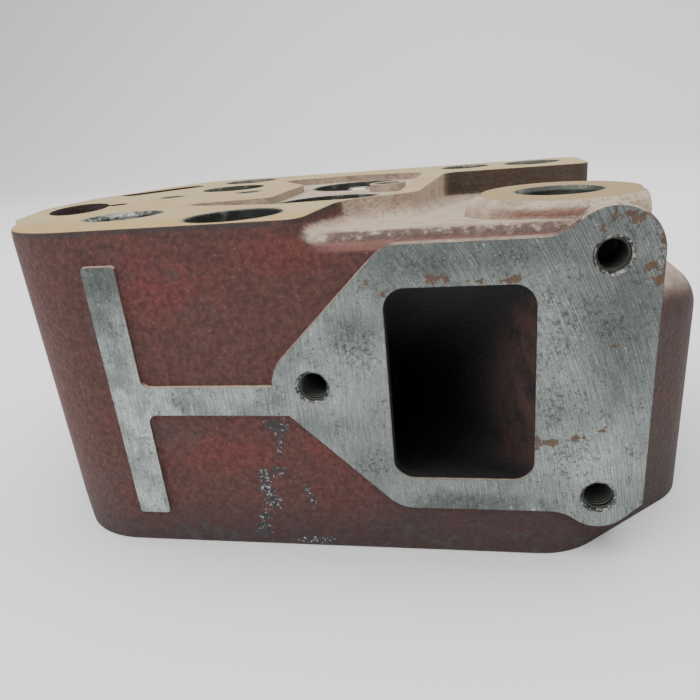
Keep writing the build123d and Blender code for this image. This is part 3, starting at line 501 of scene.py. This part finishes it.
    # Dust and painted light: faces that look up, the shelf's front and the well take the pale tan dust colour
    lit_dusty_ledge = f.both(f.rise(tilt, 0.34, 0.80), f.rise(f.noise(5 * MM, 4.0, 0.65), 0.20, 0.40))
    lit_shelf_dust = f.both(on_shelf, f.rise(tilt, -0.75, -0.30), f.rise(f.y, -83 * MM, -80 * MM))
    lit_dusty_ledge = f.either(lit_dusty_ledge, lit_shelf_dust, f.both(in_well, 0.85))
    skin = f.mix(lit_dusty_ledge, skin, dust)
    # Painted shade with brown stain: the sloping front rim of the shelf is darker in blotches
    rim = f.both(
        on_shelf, f.band(f.facing_z, 0.50, 0.955, 0.06), f.rise(f.y, -66 * MM, -74 * MM), f.rise(blotch, 0.26, 0.54)
    )
    skin = f.mix(f.both(rim, f.rise(f.z, 93 * MM, 91.5 * MM), 0.92), skin, (0.062, 0.029, 0.023))
    # Painted light: a lighter pink band on the steep rounded faces at the front of the shelf
    lit_lip = f.both(
        on_shelf, f.band(f.facing_z, 0.14, 0.55, 0.10), f.rise(f.y, -70 * MM, -78 * MM),
        f.rise(f.z, 93.5 * MM, 92.0 * MM),
    )
    skin = f.mix(f.both(lit_lip, 0.92), skin, (0.195, 0.083, 0.066))
    # Painted shade: the lower right end, on the side away from the light, is darkened in cloudy patches
    shaded_shoulder = f.both(f.rise(f.x, 80 * MM, 86 * MM), f.rise(f.z, 74 * MM, 60 * MM), f.rise(f.y, 50 * MM, 10 * MM))
    skin = f.mix(f.both(shaded_shoulder, f.rise(cloud, 0.20, 0.50), 0.8), skin, (0.040, 0.024, 0.020))
    # Painted shade: the strip's upright front wall above the shelf is darkened in blotches
    behind = f.both(
        f.band(f.y, 24 * MM, 62 * MM, 4 * MM), f.rise(f.z, 82 * MM, 84 * MM),
        f.rise(f.facing_z, 0.6, 0.3), f.rise(f.x, 18 * MM, 24 * MM),
    )
    strip_wall_shade = f.shade(sizes.strip_wall_shade, f.sum("MULTIPLY_ADD", blotch, 1.6, 0.2))
    skin = f.mix(f.both(behind, 0.92), skin, strip_wall_shade)

    # Inside of the ports and the jacket: near black painted shade, with painted light on the port's right wall near
    # its mouth and near the tops of the openings through the top face
    # Painted shade: near black, blotchy walls inside
    inside_light_and_shade = f.shade(sizes.duct, f.sum("MULTIPLY_ADD", blotch, 1.4, 0.3))
    # Painted light: the port's right wall near the mouth, which faces the light, in red-brown
    lit_port_wall = f.both(f.rise(f.y, -58 * MM, -84 * MM), f.rise(f.facing_x, -0.5, -0.9), f.rise(cloud, 0.25, 0.6))
    inside_light_and_shade = f.mix(lit_port_wall, inside_light_and_shade, (0.060, 0.027, 0.022))
    # Painted light: lighter brown near the tops of the openings through the top face
    brown = f.both(down, f.rise(f.z, 72 * MM, 88 * MM))
    inside_light_and_shade = f.mix(brown, inside_light_and_shade, (0.060, 0.036, 0.033))
    skin = f.mix(inside, skin, inside_light_and_shade)

    # Milled pads
    arc_x, arc_z = f.sum("ADD", f.x, 104 * MM), f.sum("ADD", f.z, 1 * MM)
    sweep = f.distance(f.front, (-104 * MM, 0, -1 * MM))
    around = f.sum("MULTIPLY", f.sum("ARCTAN2", arc_z, arc_x), 0.14)
    arcs = f.add("ShaderNodeCombineXYZ", {0: sweep, 1: f.sum("MULTIPLY", around, 0.07)}).outputs[0]
    streak = f.noise(0.42 * MM, 2.0, 0.75, place=arcs)
    drift = f.sum("MULTIPLY_ADD", f.noise(7 * MM, 1.0), 1.8, f.sum("MULTIPLY", streak, 2.4))
    turns = f.sum("MULTIPLY_ADD", sweep, 2 * pi / sizes.mill_pitch, drift)
    crisp = f.both(f.rise(f.noise(10 * MM, 3.0, 0.6), 0.36, 0.60), f.rise(f.x, -10 * MM, 45 * MM, 0.75))
    lines = f.both(f.sum("POWER", f.sum("MULTIPLY_ADD", f.sum("SINE", turns), 0.5, 0.5), 2.2), crisp)
    wiped = f.add("ShaderNodeMapping", {0: f.front, "Rotation": (0, radians(4), 0), "Scale": (1, 1, 0.07)}).outputs[0]
    steep = {0: f.front, "Rotation": (0, radians(-52), 0), "Scale": (1, 1, 0.10)}
    rubbed = f.add("ShaderNodeMapping", steep).outputs[0]
    wipe = f.noise(0.55 * MM, 2.0, 0.75, place=wiped)
    rub = f.noise(0.6 * MM, 2.0, 0.75, place=rubbed)
    left_side = f.rise(f.x, 30 * MM, 5 * MM)
    on_tee = f.rise(f.x, -34 * MM, -42 * MM)
    brush = f.blend_value(left_side, streak, wipe)
    brush = f.blend_value(f.both(on_tee, f.rise(f.z, 48 * MM, 60 * MM)), brush, rub)
    tone = f.noise(12 * MM, 5.0, 0.68)
    iron = f.mix(f.rise(tone, 0.38, 0.62), sizes.milled, sizes.milled_dull)
    iron = f.mix(f.rise(f.x, -20 * MM, 5 * MM, 0.75), iron, sizes.milled_dull)
    darker = [
        ((-56, 84), (12, 20)), ((37, 86), (34, 11)), ((68, 88), (20, 12)), ((74, 70), (16, 28)), ((10, 66), (10, 8)),
        ((40, 16), (22, 5)),
    ]
    brighter = [((-52, 26), (14, 40)), ((8, 58), (16, 22)), ((62, 60), (10, 16)), ((70, 30), (16, 14))]
    iron = f.shade(iron, f.sum("SUBTRACT", 1.0, f.rise(f.patches(warped, darker), -0.1, 0.7, 0.40)))
    iron = f.shade(iron, f.sum("ADD", 1.0, f.rise(f.patches(warped, brighter), -0.1, 0.8, 0.42)))
    iron = f.shade(iron, f.sum("MULTIPLY_ADD", brush, 1.9, 0.10))
    iron = f.shade(iron, f.sum("MULTIPLY_ADD", lines, 0.42, 0.90))
    iron = f.shade(iron, f.sum("MULTIPLY_ADD", fine, 1.2, 0.40))
    flecks = f.both(f.rise(f.noise(0.9 * MM, 3.0, 0.75), 0.53, 0.64), f.rise(f.noise(8 * MM, 4.0, 0.7), 0.42, 0.58))
    iron = f.mix(f.both(flecks, 0.75), iron, sizes.milled_dark)
    glints = f.both(f.rise(f.noise(0.8 * MM, 2.0, 0.7), 0.62, 0.70), f.rise(brush, 0.50, 0.62))
    iron = f.mix(f.both(glints, 0.6), iron, (0.62, 0.65, 0.64))
    stained = [
        ((62, 66), (11, 11)), ((11, 62), (10, 11)), ((-56, 82), (6, 10)), ((28, 83), (14, 5)), ((54, 60), (6, 16)),
        ((20, 77), (7, 4)), ((60, 74), (7, 7)), ((50, 83), (8, 4)), ((60, 44), (5, 10)), ((40, 18), (20, 4)),
        ((72, 68), (9, 9)), ((14, 30), (6, 8)), ((62, 33), (11, 5)), ((-53, 34), (4, 8)),
    ]
    mottle = f.rise(f.noise(1.3 * MM, 4.0, 0.8), 0.45, 0.66, 0.9)
    stain = f.both(f.rise(f.patches(warped, stained), -0.1, 0.9), mottle)
    iron = f.mix(stain, iron, sizes.milled_dark)
    rusted = [
        ((32.4, 78.9), (4.6, 1.7)), ((49.4, 78.0), (3.8, 1.4)), ((72.0, 91.6), (1.7, 2.6)),
        ((76.2, 91.2), (3.2, 2.0)), ((82.8, 86.0), (1.2, 2.8)), ((80.7, 80.2), (1.7, 1.5)),
        ((82.3, 78.0), (2.2, 3.2)), ((59.5, 35.2), (4.0, 1.1)), ((66.4, 36.7), (3.2, 1.5)),
        ((72.2, 38.9), (2.6, 1.3)), ((73.6, 61.0), (0.9, 0.9)), ((69.7, 89.4), (1.2, 1.0)),
        ((56.4, 36.0), (0.9, 4.4)), ((19.3, 76.0), (1.6, 1.0)), ((15.0, 78.5), (1.2, 0.8)),
        ((42.0, 78.0), (3.0, 0.7)),
    ]
    rust = f.sum("MULTIPLY_ADD", f.sum("SUBTRACT", f.noise(1.7 * MM, 4.0, 0.75), 0.5), 3.4, f.patches(warped, rusted))
    rust = f.rise(rust, 0.22, 0.52)
    rust_tint = f.shade(sizes.rust, f.sum("MULTIPLY_ADD", speckle, 1.6, 0.2))
    iron = f.mix(f.both(rust, on_flange, 0.88), iron, rust_tint)

    # Oiled top face
    oil = f.mix(f.rise(f.noise(20 * MM, 3.0, 0.6), 0.40, 0.62), sizes.oiled, sizes.oiled_pale)
    by_boss = f.both(f.rise(f.x, 36 * MM, 46 * MM), f.rise(f.y, -28 * MM, -36 * MM))
    near_front = f.either(f.rise(f.y, -55 * MM, -78 * MM), by_boss)
    oil = f.mix(f.both(near_front, f.rise(cloud, 0.30, 0.60, 0.9)), oil, sizes.oiled_amber)
    boss_ring = f.both(f.rise(f.x, 36 * MM, 44 * MM), f.rise(f.y, -28 * MM, -36 * MM), 0.8)
    oil = f.mix(boss_ring, oil, (0.27, 0.19, 0.075))
    oil = f.shade(oil, f.sum("MULTIPLY_ADD", speckle, 0.9, 0.55))
    oil = f.mix(f.rise(fine, 0.42, 0.30, 0.35), oil, (0.20, 0.15, 0.085))
    around_bores = f.both(f.rise(bore_gap, 2.2 * MM, 0.6 * MM), f.rise(cloud, 0.38, 0.58, 0.6))
    oil = f.mix(around_bores, oil, (0.075, 0.065, 0.038))
    oil = f.mix(f.both(f.rise(blotch, 0.60, 0.70), 0.35), oil, (0.16, 0.13, 0.08))

    # Bores, with turning rings and oil
    climb = f.sum("MULTIPLY_ADD", f.y, 0.7, f.z)
    rings = f.sum("MULTIPLY_ADD", f.sum("SINE", f.sum("MULTIPLY", climb, 2 * pi / (0.6 * MM))), 0.5, 0.5)
    # Bore walls: oily iron darkened as painted shade, lightened in clouds
    walls = f.mix(f.rise(cloud, 0.46, 0.70, 0.7), sizes.bore, (0.115, 0.120, 0.100))
    walls = f.shade(walls, f.sum("MULTIPLY_ADD", rings, 0.3, 0.85))
    walls = f.mix(f.both(f.rise(blotch, 0.54, 0.64), 0.55), walls, (0.22, 0.22, 0.19))
    # Painted light: the walls of one bore near the front left of the top are lit with a pale patch
    lit_bore_patch = f.rise(f.distance(place, (-0.0631, -0.0555, 0.088)), 17 * MM, 9 * MM)
    walls = f.mix(f.both(lit_bore_patch, f.rise(f.noise(2.2 * MM, 3.0, 0.7), 0.42, 0.60, 0.9)), walls, (0.50, 0.52, 0.49))
    # Painted highlights: pale speckled glints in the chamfers at the mouths of the flange's tapped holes
    tapped = f.both(f.rise(hole_gap, 1.1 * MM, 0.9 * MM), f.rise(f.y, -84.6 * MM, -85.2 * MM))
    walls = f.mix(f.both(tapped, f.rise(speckle, 0.44, 0.62, 0.85)), walls, (0.42, 0.43, 0.41))

    base = f.mix(on_flange, skin, iron)
    base = f.mix(f.either(on_rear, on_deck), base, iron)
    base = f.mix(f.either(bored, pocketed), base, walls)
    base = f.mix(at_top, base, oil)

    # Scuffs beside the flange, where the primer is chipped to bare metal and black dirt
    chipped = [
        ((-13.6, 39.6), (3.2, 2.4)), ((-11.4, 37.9), (1.6, 1.5)), ((-13.0, 34.4), (1.1, 3.2)),
        ((-13.6, 30.0), (0.9, 2.6)), ((-14.8, 25.2), (2.4, 1.9)), ((-18.9, 23.4), (2.9, 2.4)),
        ((-18.9, 19.0), (2.7, 4.2)), ((-17.8, 15.0), (2.7, 2.8)), ((-20.4, 10.0), (2.6, 1.6)),
        ((-22.4, 6.4), (2.6, 1.6)), ((-7.2, 19.0), (0.9, 2.2)), ((-5.9, 15.6), (1.4, 2.4)),
        ((-22.6, 3.2), (3.2, 1.4)), ((-6.6, 1.8), (7.0, 1.2)),
    ]
    ragged = f.sum("SUBTRACT", f.noise(1.8 * MM, 4.0, 0.7), 0.5)
    scuff = f.sum("MULTIPLY_ADD", ragged, 2.2, f.patches(warped, chipped))
    scuff = f.both(
        f.rise(scuff, 0.02, 0.36), f.rise(f.facing_y, -0.6, -0.8), f.rise(f.y, -70 * MM, -80 * MM),
        f.sum("SUBTRACT", 1.0, on_flange),
    )
    base = f.mix(f.both(scuff, 0.88), base, (0.022, 0.023, 0.026))
    glint = f.both(scuff, f.rise(f.noise(0.9 * MM, 2.0, 0.7), 0.57, 0.66))
    base = f.mix(f.both(glint, 0.8), base, (0.36, 0.37, 0.39))

    # Worn edges
    rounded = f.add("ShaderNodeBevel", {"Radius": 0.6 * MM}, samples=4).outputs[0]
    true = f.add("ShaderNodeNewGeometry").outputs["True Normal"]
    agreement = f.add("ShaderNodeVectorMath", {0: rounded, 1: true}, operation="DOT_PRODUCT").outputs["Value"]
    edge = f.rise(agreement, 0.985, 0.86)
    worn = f.both(edge, f.rise(blotch, 0.38, 0.60), f.sum("SUBTRACT", 1.0, f.either(bored, pocketed, inside)))
    base = f.mix(f.both(worn, f.sum("SUBTRACT", 1.0, milled), 0.55), base, (0.24, 0.17, 0.135))
    base = f.mix(f.both(edge, on_flange, f.rise(blotch, 0.42, 0.58), 0.8), base, (0.075, 0.055, 0.042))
    base = f.mix(f.both(edge, at_top, f.rise(blotch, 0.40, 0.60), 0.6), base, (0.12, 0.095, 0.055))

    cast = f.sum("SUBTRACT", 1.0, machined)
    roughness = f.sum("MULTIPLY_ADD", machined, -0.16, 0.72)
    roughness = f.sum("MULTIPLY_ADD", inside, 0.1, roughness)
    roughness = f.sum("MULTIPLY_ADD", f.sum("SUBTRACT", speckle, 0.5), 0.4, roughness, clamp=True)
    relief = f.sum("MULTIPLY_ADD", coarse, 0.8, grain)
    relief = f.sum("MULTIPLY_ADD", fine, 0.22, relief)
    normal = f.bump(relief, sizes.grain_height, rounded, cast)
    grooves = f.sum("MULTIPLY_ADD", brush, 1.2, f.sum("SUBTRACT", lines, f.sum("MULTIPLY", flecks, 2.0)))
    normal = f.bump(grooves, sizes.mill_height, normal, f.either(on_flange, on_rear))
    metal = f.both(f.either(on_flange, on_rear, on_deck, bored), 0.35)
    return f.finish(Base_Color=base, Roughness=roughness, Metallic=metal, Normal=normal)


def turned_finish(name, tint, axis, roughness=0.35, ring=0.25 * MM, stain=0.25, metallic=1.0, upright=True):
    """Turned metal: fine rings round an upright axis, or along wavy lines of noise, with faint stains."""
    f = Finish(name)
    across = f.distance(f.plan, flat(axis, 2))
    reach = f.sum("ADD", across, f.z) if upright else f.noise(2 * MM, 2.0)
    rings = f.sum("MULTIPLY_ADD", f.sum("SINE", f.sum("MULTIPLY", reach, 2 * pi / ring)), 0.5, 0.5)
    cloud = f.noise(6 * MM, 4.0, 0.65)
    base = f.shade(tint, f.sum("MULTIPLY_ADD", rings, 0.10, 0.94))
    base = f.mix(f.rise(cloud, 0.46, 0.70, stain), base, tuple(0.35 * c for c in tint))
    rough = f.sum("MULTIPLY_ADD", f.sum("SUBTRACT", cloud, 0.5), 0.35, roughness, clamp=True)
    normal = f.bump(f.sum("MULTIPLY_ADD", rings, 0.5, f.noise(0.7 * MM, 2.0, 0.6)), 0.006 * MM)
    return f.finish(Base_Color=base, Roughness=rough, Metallic=metallic, Normal=normal)


def peened_finish(name, tint, roughness=0.42):
    """Shot-peened or pressed metal: small dimples under an uneven film of oil."""
    f = Finish(name)
    dimples = f.cells(0.5 * MM)
    cloud = f.noise(4 * MM, 4.0, 0.6)
    base = f.shade(tint, f.sum("MULTIPLY_ADD", cloud, 0.7, 0.65))
    base = f.mix(f.rise(f.noise(1.8 * MM, 3.0, 0.7), 0.60, 0.74, 0.5), base, (0.16, 0.08, 0.04))
    rough = f.sum("MULTIPLY_ADD", f.sum("SUBTRACT", cloud, 0.5), 0.4, roughness, clamp=True)
    return f.finish(Base_Color=base, Roughness=rough, Metallic=0.9, Normal=f.bump(dimples, 0.03 * MM))


def rubber_finish(name, tint):
    """Matt moulded rubber with a faint grain and a film of dust."""
    f = Finish(name)
    cloud = f.noise(3 * MM, 3.0, 0.6)
    base = f.mix(f.rise(cloud, 0.48, 0.72, 0.35), tint, (0.085, 0.075, 0.062))
    rough = f.sum("MULTIPLY_ADD", cloud, 0.3, 0.48)
    return f.finish(Base_Color=base, Roughness=rough, Normal=f.bump(f.noise(0.35 * MM, 2.0, 0.6), 0.012 * MM))


def dress(node, material):
    """Gives a CAD node its finish."""
    slots = frame["nodes"][node].data.materials
    slots.clear()
    slots.append(material)


# ------------------------------------------------------------------ surfaces


def surface(name, points, material, closed_round=True, closed_along=False, caps=False):
    """Mesh of a grid of points with rows along the piece and columns round its section.
    Rows join to the next row and columns to the next column. Caps are fans about the mean of the end rows."""
    rows, columns = points.shape[:2]
    place = points.reshape(-1, 3)
    i = np.arange(rows if closed_along else rows - 1)[:, None]
    j = np.arange(columns if closed_round else columns - 1)[None, :]
    a, b = i * columns + j, i * columns + (j + 1) % columns
    c, d = ((i + 1) % rows) * columns + (j + 1) % columns, ((i + 1) % rows) * columns + j
    faces = np.stack([a, b, c, d], axis=-1).reshape(-1, 4)
    loops = [faces.ravel()]
    sizes = [np.full(len(faces), 4)]
    if caps:
        ring = np.arange(columns)
        first, last = len(place), len(place) + 1
        place = np.vstack([place, points[0].mean(0), points[-1].mean(0)])
        start = np.stack([np.full(columns, first), (ring + 1) % columns, ring], axis=-1)
        far = (rows - 1) * columns
        end = np.stack([np.full(columns, last), far + ring, far + (ring + 1) % columns], axis=-1)
        loops += [start.ravel(), end.ravel()]
        sizes += [np.full(2 * columns, 3)]
    return mesh_piece(name, place, np.concatenate(loops), np.concatenate(sizes), material)


def mesh_piece(name, place, loops, sizes, material):
    """Object at the origin whose mesh has these points and faces."""
    mesh = bpy.data.meshes.new(name)
    mesh.vertices.add(len(place))
    mesh.vertices.foreach_set("co", np.asarray(place, np.float32).ravel())
    mesh.loops.add(len(loops))
    mesh.loops.foreach_set("vertex_index", np.asarray(loops, np.int32))
    mesh.polygons.add(len(sizes))
    starts = np.concatenate([[0], np.cumsum(sizes)[:-1]])
    mesh.polygons.foreach_set("loop_start", starts.astype(np.int32))
    mesh.polygons.foreach_set("use_smooth", np.ones(len(sizes), bool))
    mesh.update(calc_edges=True)
    mesh.validate()
    mesh.materials.append(material)
    piece = bpy.data.objects.new(name, mesh)
    bpy.context.scene.collection.objects.link(piece)
    return piece


def spring(name, axis, foot, top, radius, wire, turns, hand, sizes, material):
    """Coil spring with closed, ground ends.
    The wire's centre turns about the axis at a fixed radius. Its height rises by one wire a turn over the closed
    turns at each end and evenly between them. The wire's round section is cut flat at the foot and the top."""
    steps = int(turns * sizes.steps)
    turn = np.linspace(0, turns, steps + 1)
    closed = sizes.closed_turns
    cut = sizes.ground * wire
    low, high = foot + wire - cut, top - wire + cut
    lift = 2 * wire * closed
    height = np.interp(turn, [0, closed, turns - closed, turns], [low, low + lift, high - lift, high])
    kernel = np.hanning(2 * (sizes.steps // 4) + 1)
    padded = np.pad(height, len(kernel) // 2, mode="reflect", reflect_type="odd")
    height = np.convolve(padded, kernel / kernel.sum(), mode="valid")
    angle = 2 * pi * turn * hand
    outward = np.stack([np.cos(angle), np.sin(angle), np.zeros_like(angle)], axis=-1)
    centre = np.array([axis.x, axis.y, 0]) + radius * outward
    centre[:, 2] = height
    around = np.linspace(0, 2 * pi, sizes.sides, endpoint=False) * hand
    up = np.array([0.0, 0.0, 1.0])
    points = centre[:, None] + wire * (
        np.cos(around)[None, :, None] * outward[:, None] + np.sin(around)[None, :, None] * up
    )
    points[..., 2] = np.clip(points[..., 2], foot, top)
    return surface(name, points[:, ::-1], material, caps=True)


def thread(place, inward, radius, depth, sizes):
    """Grid of points of an internal thread's ridge.
    A section with a narrow crest and sloping flanks, standing in from the wall of the hole, is carried along a
    helix about the hole's axis. Its height fades out over the last half turn at both ends."""
    turns = (depth - sizes.lead_in - 1.5 * sizes.pitch) / sizes.pitch
    steps = int(turns * sizes.segments)
    turn = np.linspace(0, turns, steps + 1)
    fade = np.clip(np.minimum(turn, turns - turn) / 0.5, 0.04, 1)
    reach = np.array([-0.05, 1.0, 1.0, -0.05])
    across = np.array([-0.46, -0.07, 0.07, 0.46]) * sizes.pitch
    inward = Vector(inward)
    side = inward.orthogonal().normalized()
    other = inward.cross(side)
    frame_axes = np.array([side, other, inward])
    angle = 2 * pi * turn
    in_reach = radius - sizes.depth * fade[:, None] * reach[None, :]
    local = np.stack(
        [
            in_reach * np.cos(angle)[:, None],
            in_reach * np.sin(angle)[:, None],
            sizes.lead_in + sizes.pitch * turn[:, None] + across[None, :] * fade[:, None] ** 0.5,
        ],
        axis=-1,
    )
    return np.array(place) + local @ frame_axes


# ------------------------------------------------------------------ pieces


class FinishCasting(Operator):
    """Primes the casting and bares its milled faces and bores"""

    bl_idname = "cylinder_head.finish_casting"
    bl_label = "Finish casting"

    def execute(self, context):
        dress("head_casting", casting_finish(context.scene.casting_finish))
        return {"FINISHED"}


class CutThreads(Operator):
    """Cuts the threads of the tapped holes"""

    bl_idname = "cylinder_head.cut_threads"
    bl_label = "Cut threads"

    def execute(self, context):
        sizes, colours = context.scene.thread_sizes, context.scene.casting_finish
        tint = tuple(2.0 * c for c in colours.bore)
        material = turned_finish("tapped_iron", tint, Vector(), 0.4, 0.3 * MM, 0.5, 0.6, False)
        deep, shallow = 17.6 * MM, 11.6 * MM
        flange_depths = (deep, 16.1 * MM, 19.1 * MM)
        holes = [(place, (0, 1, 0), depth) for place, depth in zip(FLANGE_HOLES, flange_depths)]
        holes += [(place, (0, -1, 0), shallow) for place in REAR_HOLES]
        holes += [(place, (0, 0, -1), shallow) for place in CLAMP_HOLES]
        holes += [(PEDESTAL_HOLE, (0, 0, -1), deep)]
        groups = {"flange_threads": holes[:3], "exhaust_threads": holes[3:7], "top_threads": holes[7:]}
        for name, group in groups.items():
            parts = []
            for place, inward, depth in group:
                parts.append(surface(name, thread(place, inward, TAPPED_RADIUS, depth, sizes), material, caps=True))
            piece = joined(name, parts)
            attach(piece, "head")
        return {"FINISHED"}


def joined(name, parts):
    """Several meshes as one piece."""
    with bpy.context.temp_override(active_object=parts[0], selected_editable_objects=parts):
        bpy.ops.object.join()
    parts[0].name = parts[0].data.name = name
    return parts[0]


class WindSprings(Operator):
    """Winds the inner and outer springs of both valves"""

    bl_idname = "cylinder_head.wind_springs"
    bl_label = "Wind springs"

    def execute(self, context):
        sizes = context.scene.spring_sizes
        material = peened_finish("oiled_spring_steel", context.scene.metal_colours.dark_steel)
        # Coil radius, wire radius, turns and hand of each spring
        kinds = {"outer": (13.4 * MM, 2.0 * MM, 6.5, 1), "inner": (9.35 * MM, 1.3 * MM, 8.5, -1)}
        for valve, axis in VALVE_AXES.items():
            for kind, (radius, wire, turns, hand) in kinds.items():
                node = f"{valve}_{kind}_spring"
                low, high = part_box(node)
                piece = spring(f"{node}_wound", axis, low.z, high.z, radius, wire, turns, hand, sizes, material)
                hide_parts(node)
                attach(piece, "head")
                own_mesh(piece)
        return {"FINISHED"}


class FinishValves(Operator):
    """Finishes the valves, their seats, guides, seals, washers, retainers and collets"""

    bl_idname = "cylinder_head.finish_valves"
    bl_label = "Finish valve gear"

    def execute(self, context):
        metal = context.scene.metal_colours
        rubber = rubber_finish("seal_rubber_moulded", metal.rubber)
        for valve, axis in VALVE_AXES.items():
            stem = metal.steel if valve == "intake" else metal.hot_steel
            # Node, finish, tint, roughness, pitch of the turning rings in millimetres, and stain
            turned = (
                ("valve", "valve_ground", stem, 0.28, 0.22, 0.35),
                ("seat_insert", "seat_ground", metal.seat, 0.30, 0.3, 0.2),
                ("guide", "guide_turned", metal.iron, 0.48, 0.4, 0.35),
                ("spring_washer", "washer_hardened", metal.dark_steel, 0.40, 0.3, 0.3),
                ("retainer", "retainer_turned", metal.dark_steel, 0.36, 0.3, 0.3),
                ("collets", "collets_hardened", metal.steel, 0.34, 0.2, 0.35),
            )
            for piece, finish, tint, roughness, ring, stain in turned:
                material = turned_finish(f"{valve}_{finish}", tint, axis, roughness, ring * MM, stain)
                dress(f"{valve}_{piece}", material)
            dress(f"{valve}_stem_seal", rubber)
        return {"FINISHED"}


class FinishInjectorSleeve(Operator):
    """Finishes the injector sleeve, its ring and its washer"""

    bl_idname = "cylinder_head.finish_injector_sleeve"
    bl_label = "Finish injector sleeve"

    def execute(self, context):
        metal = context.scene.metal_colours
        middle = mount_place("injector_bore")
        dress("injector_sleeve", turned_finish("sleeve_brass_turned", metal.brass, middle, 0.38, 0.35 * MM, 0.45))
        washer = turned_finish("washer_copper_annealed", metal.copper, middle, 0.42, 0.3 * MM, 0.4)
        dress("injector_seat_washer", washer)
        dress("injector_sleeve_ring", rubber_finish("ring_rubber_moulded", metal.rubber))
        return {"FINISHED"}


class FinishPlugs(Operator):
    """Finishes the pressed core plugs and the gallery plug"""

    bl_idname = "cylinder_head.finish_plugs"
    bl_label = "Finish plugs"

    def execute(self, context):
        metal = context.scene.metal_colours
        dress("core_plugs", peened_finish("core_plug_zinc", metal.zinc, 0.38))
        dress("gallery_plug", peened_finish("gallery_plug_black", metal.dark_steel, 0.35))
        return {"FINISHED"}


class SetStage(Operator):
    """Lays the floor and sets the lights and the camera"""

    bl_idname = "cylinder_head.set_stage"
    bl_label = "Set stage"

    def execute(self, context):
        scene, settings = context.scene, context.scene.stage_settings
        f = Finish("pale_floor")
        f.finish(Base_Color=tuple(settings.floor), Roughness=0.9)
        self.floor(f.material)
        self.light("overhead_light", (-0.10, -0.30, 1.10), (0, 0, 0.05), 1.3, settings.overhead)
        self.light("backdrop_light", (0, 0.9, 2.2), (0, 3.4, 0.2), 3.0, settings.backdrop)
        self.light("front_light", (-0.75, -0.95, 0.55), (0, 0, 0.05), 0.8, settings.front)
        world = bpy.data.worlds.new("soft_surroundings")
        world.use_nodes = True
        background = world.node_tree.nodes["Background"]
        background.inputs["Color"].default_value = (1.0, 1.0, 1.0, 1.0)
        background.inputs["Strength"].default_value = settings.ambient
        scene.world = world
        self.camera(scene, settings)
        return {"FINISHED"}

    @staticmethod
    def floor(material):
        """Floor that is flat under the head and curves up behind it: a profile of depth and height along a width."""
        along = np.linspace(0, 1, 61)
        depth = -3.0 + 7.0 * along
        height = 1.4 * np.clip((depth - 1.6) / 2.4, 0, 1) ** 2
        width = np.linspace(-4.0, 4.0, 9)
        points = np.stack(np.broadcast_arrays(width[None, :], depth[:, None], height[:, None]), axis=-1).copy()
        points[..., 2] -= 0.2 * MM
        floor = surface("floor", points, material, closed_round=False)

    @staticmethod
    def light(name, place, target, size, power):
        """Square soft light that faces a target."""
        data = bpy.data.lights.new(name, "AREA")
        data.size, data.energy = size, power
        lamp = bpy.data.objects.new(name, data)
        lamp.location = place
        lamp.rotation_euler = (Vector(target) - Vector(place)).to_track_quat("-Z", "Y").to_euler()
        bpy.context.scene.collection.objects.link(lamp)

    @staticmethod
    def camera(scene, settings):
        """Camera close in front of the flange, a little above the top face and turned to the left."""
        data = bpy.data.cameras.new("camera")
        data.lens, data.sensor_width = settings.lens, 36.0
        data.shift_x, data.shift_y = -0.0404, 0.0375
        data.clip_start, data.clip_end = 0.005, 50.0
        right = Vector((0.98439, 0.1589, -0.07564))
        up = Vector((0.0098, 0.37968, 0.92507))
        back = right.cross(up).normalized()
        up = back.cross(right).normalized()
        camera = bpy.data.objects.new("camera", data)
        turn = Matrix((right.normalized(), up, back)).transposed()
        camera.matrix_world = Matrix.Translation((0.0444, -0.2313, 0.1135)) @ turn.to_4x4()
        scene.collection.objects.link(camera)
        scene.camera = camera


STEPS = (FinishCasting, CutThreads, WindSprings, FinishValves, FinishInjectorSleeve, FinishPlugs, SetStage)
GROUPS = {
    "casting_finish": CastingFinish,
    "thread_sizes": ThreadSizes,
    "spring_sizes": SpringSizes,
    "metal_colours": MetalColours,
    "stage_settings": StageSettings,
}


class CylinderHeadPanel(Panel):
    """Lists the steps that finish the cylinder head"""

    bl_idname = "VIEW3D_PT_cylinder_head"
    bl_label = "Cylinder Head"
    bl_space_type = "VIEW_3D"
    bl_region_type = "UI"
    bl_category = "Cylinder Head"

    def draw(self, context):
        for name, group in GROUPS.items():
            box = self.layout.box()
            box.label(text=group.__doc__)
            for key in group.__annotations__:
                box.prop(getattr(context.scene, name), key)
        for step in STEPS:
            self.layout.operator(step.bl_idname)


def register():
    for group in (*GROUPS.values(), *STEPS, CylinderHeadPanel):
        bpy.utils.register_class(group)
    for name, group in GROUPS.items():
        setattr(bpy.types.Scene, name, PointerProperty(type=group))


def unregister():
    for name in GROUPS:
        delattr(bpy.types.Scene, name)
    for group in (*GROUPS.values(), *STEPS, CylinderHeadPanel):
        bpy.utils.unregister_class(group)


def main():
    register()
    for step in STEPS:
        getattr(bpy.ops.cylinder_head, step.bl_idname.split(".")[1])()


if __name__ == "__main__":
    main()
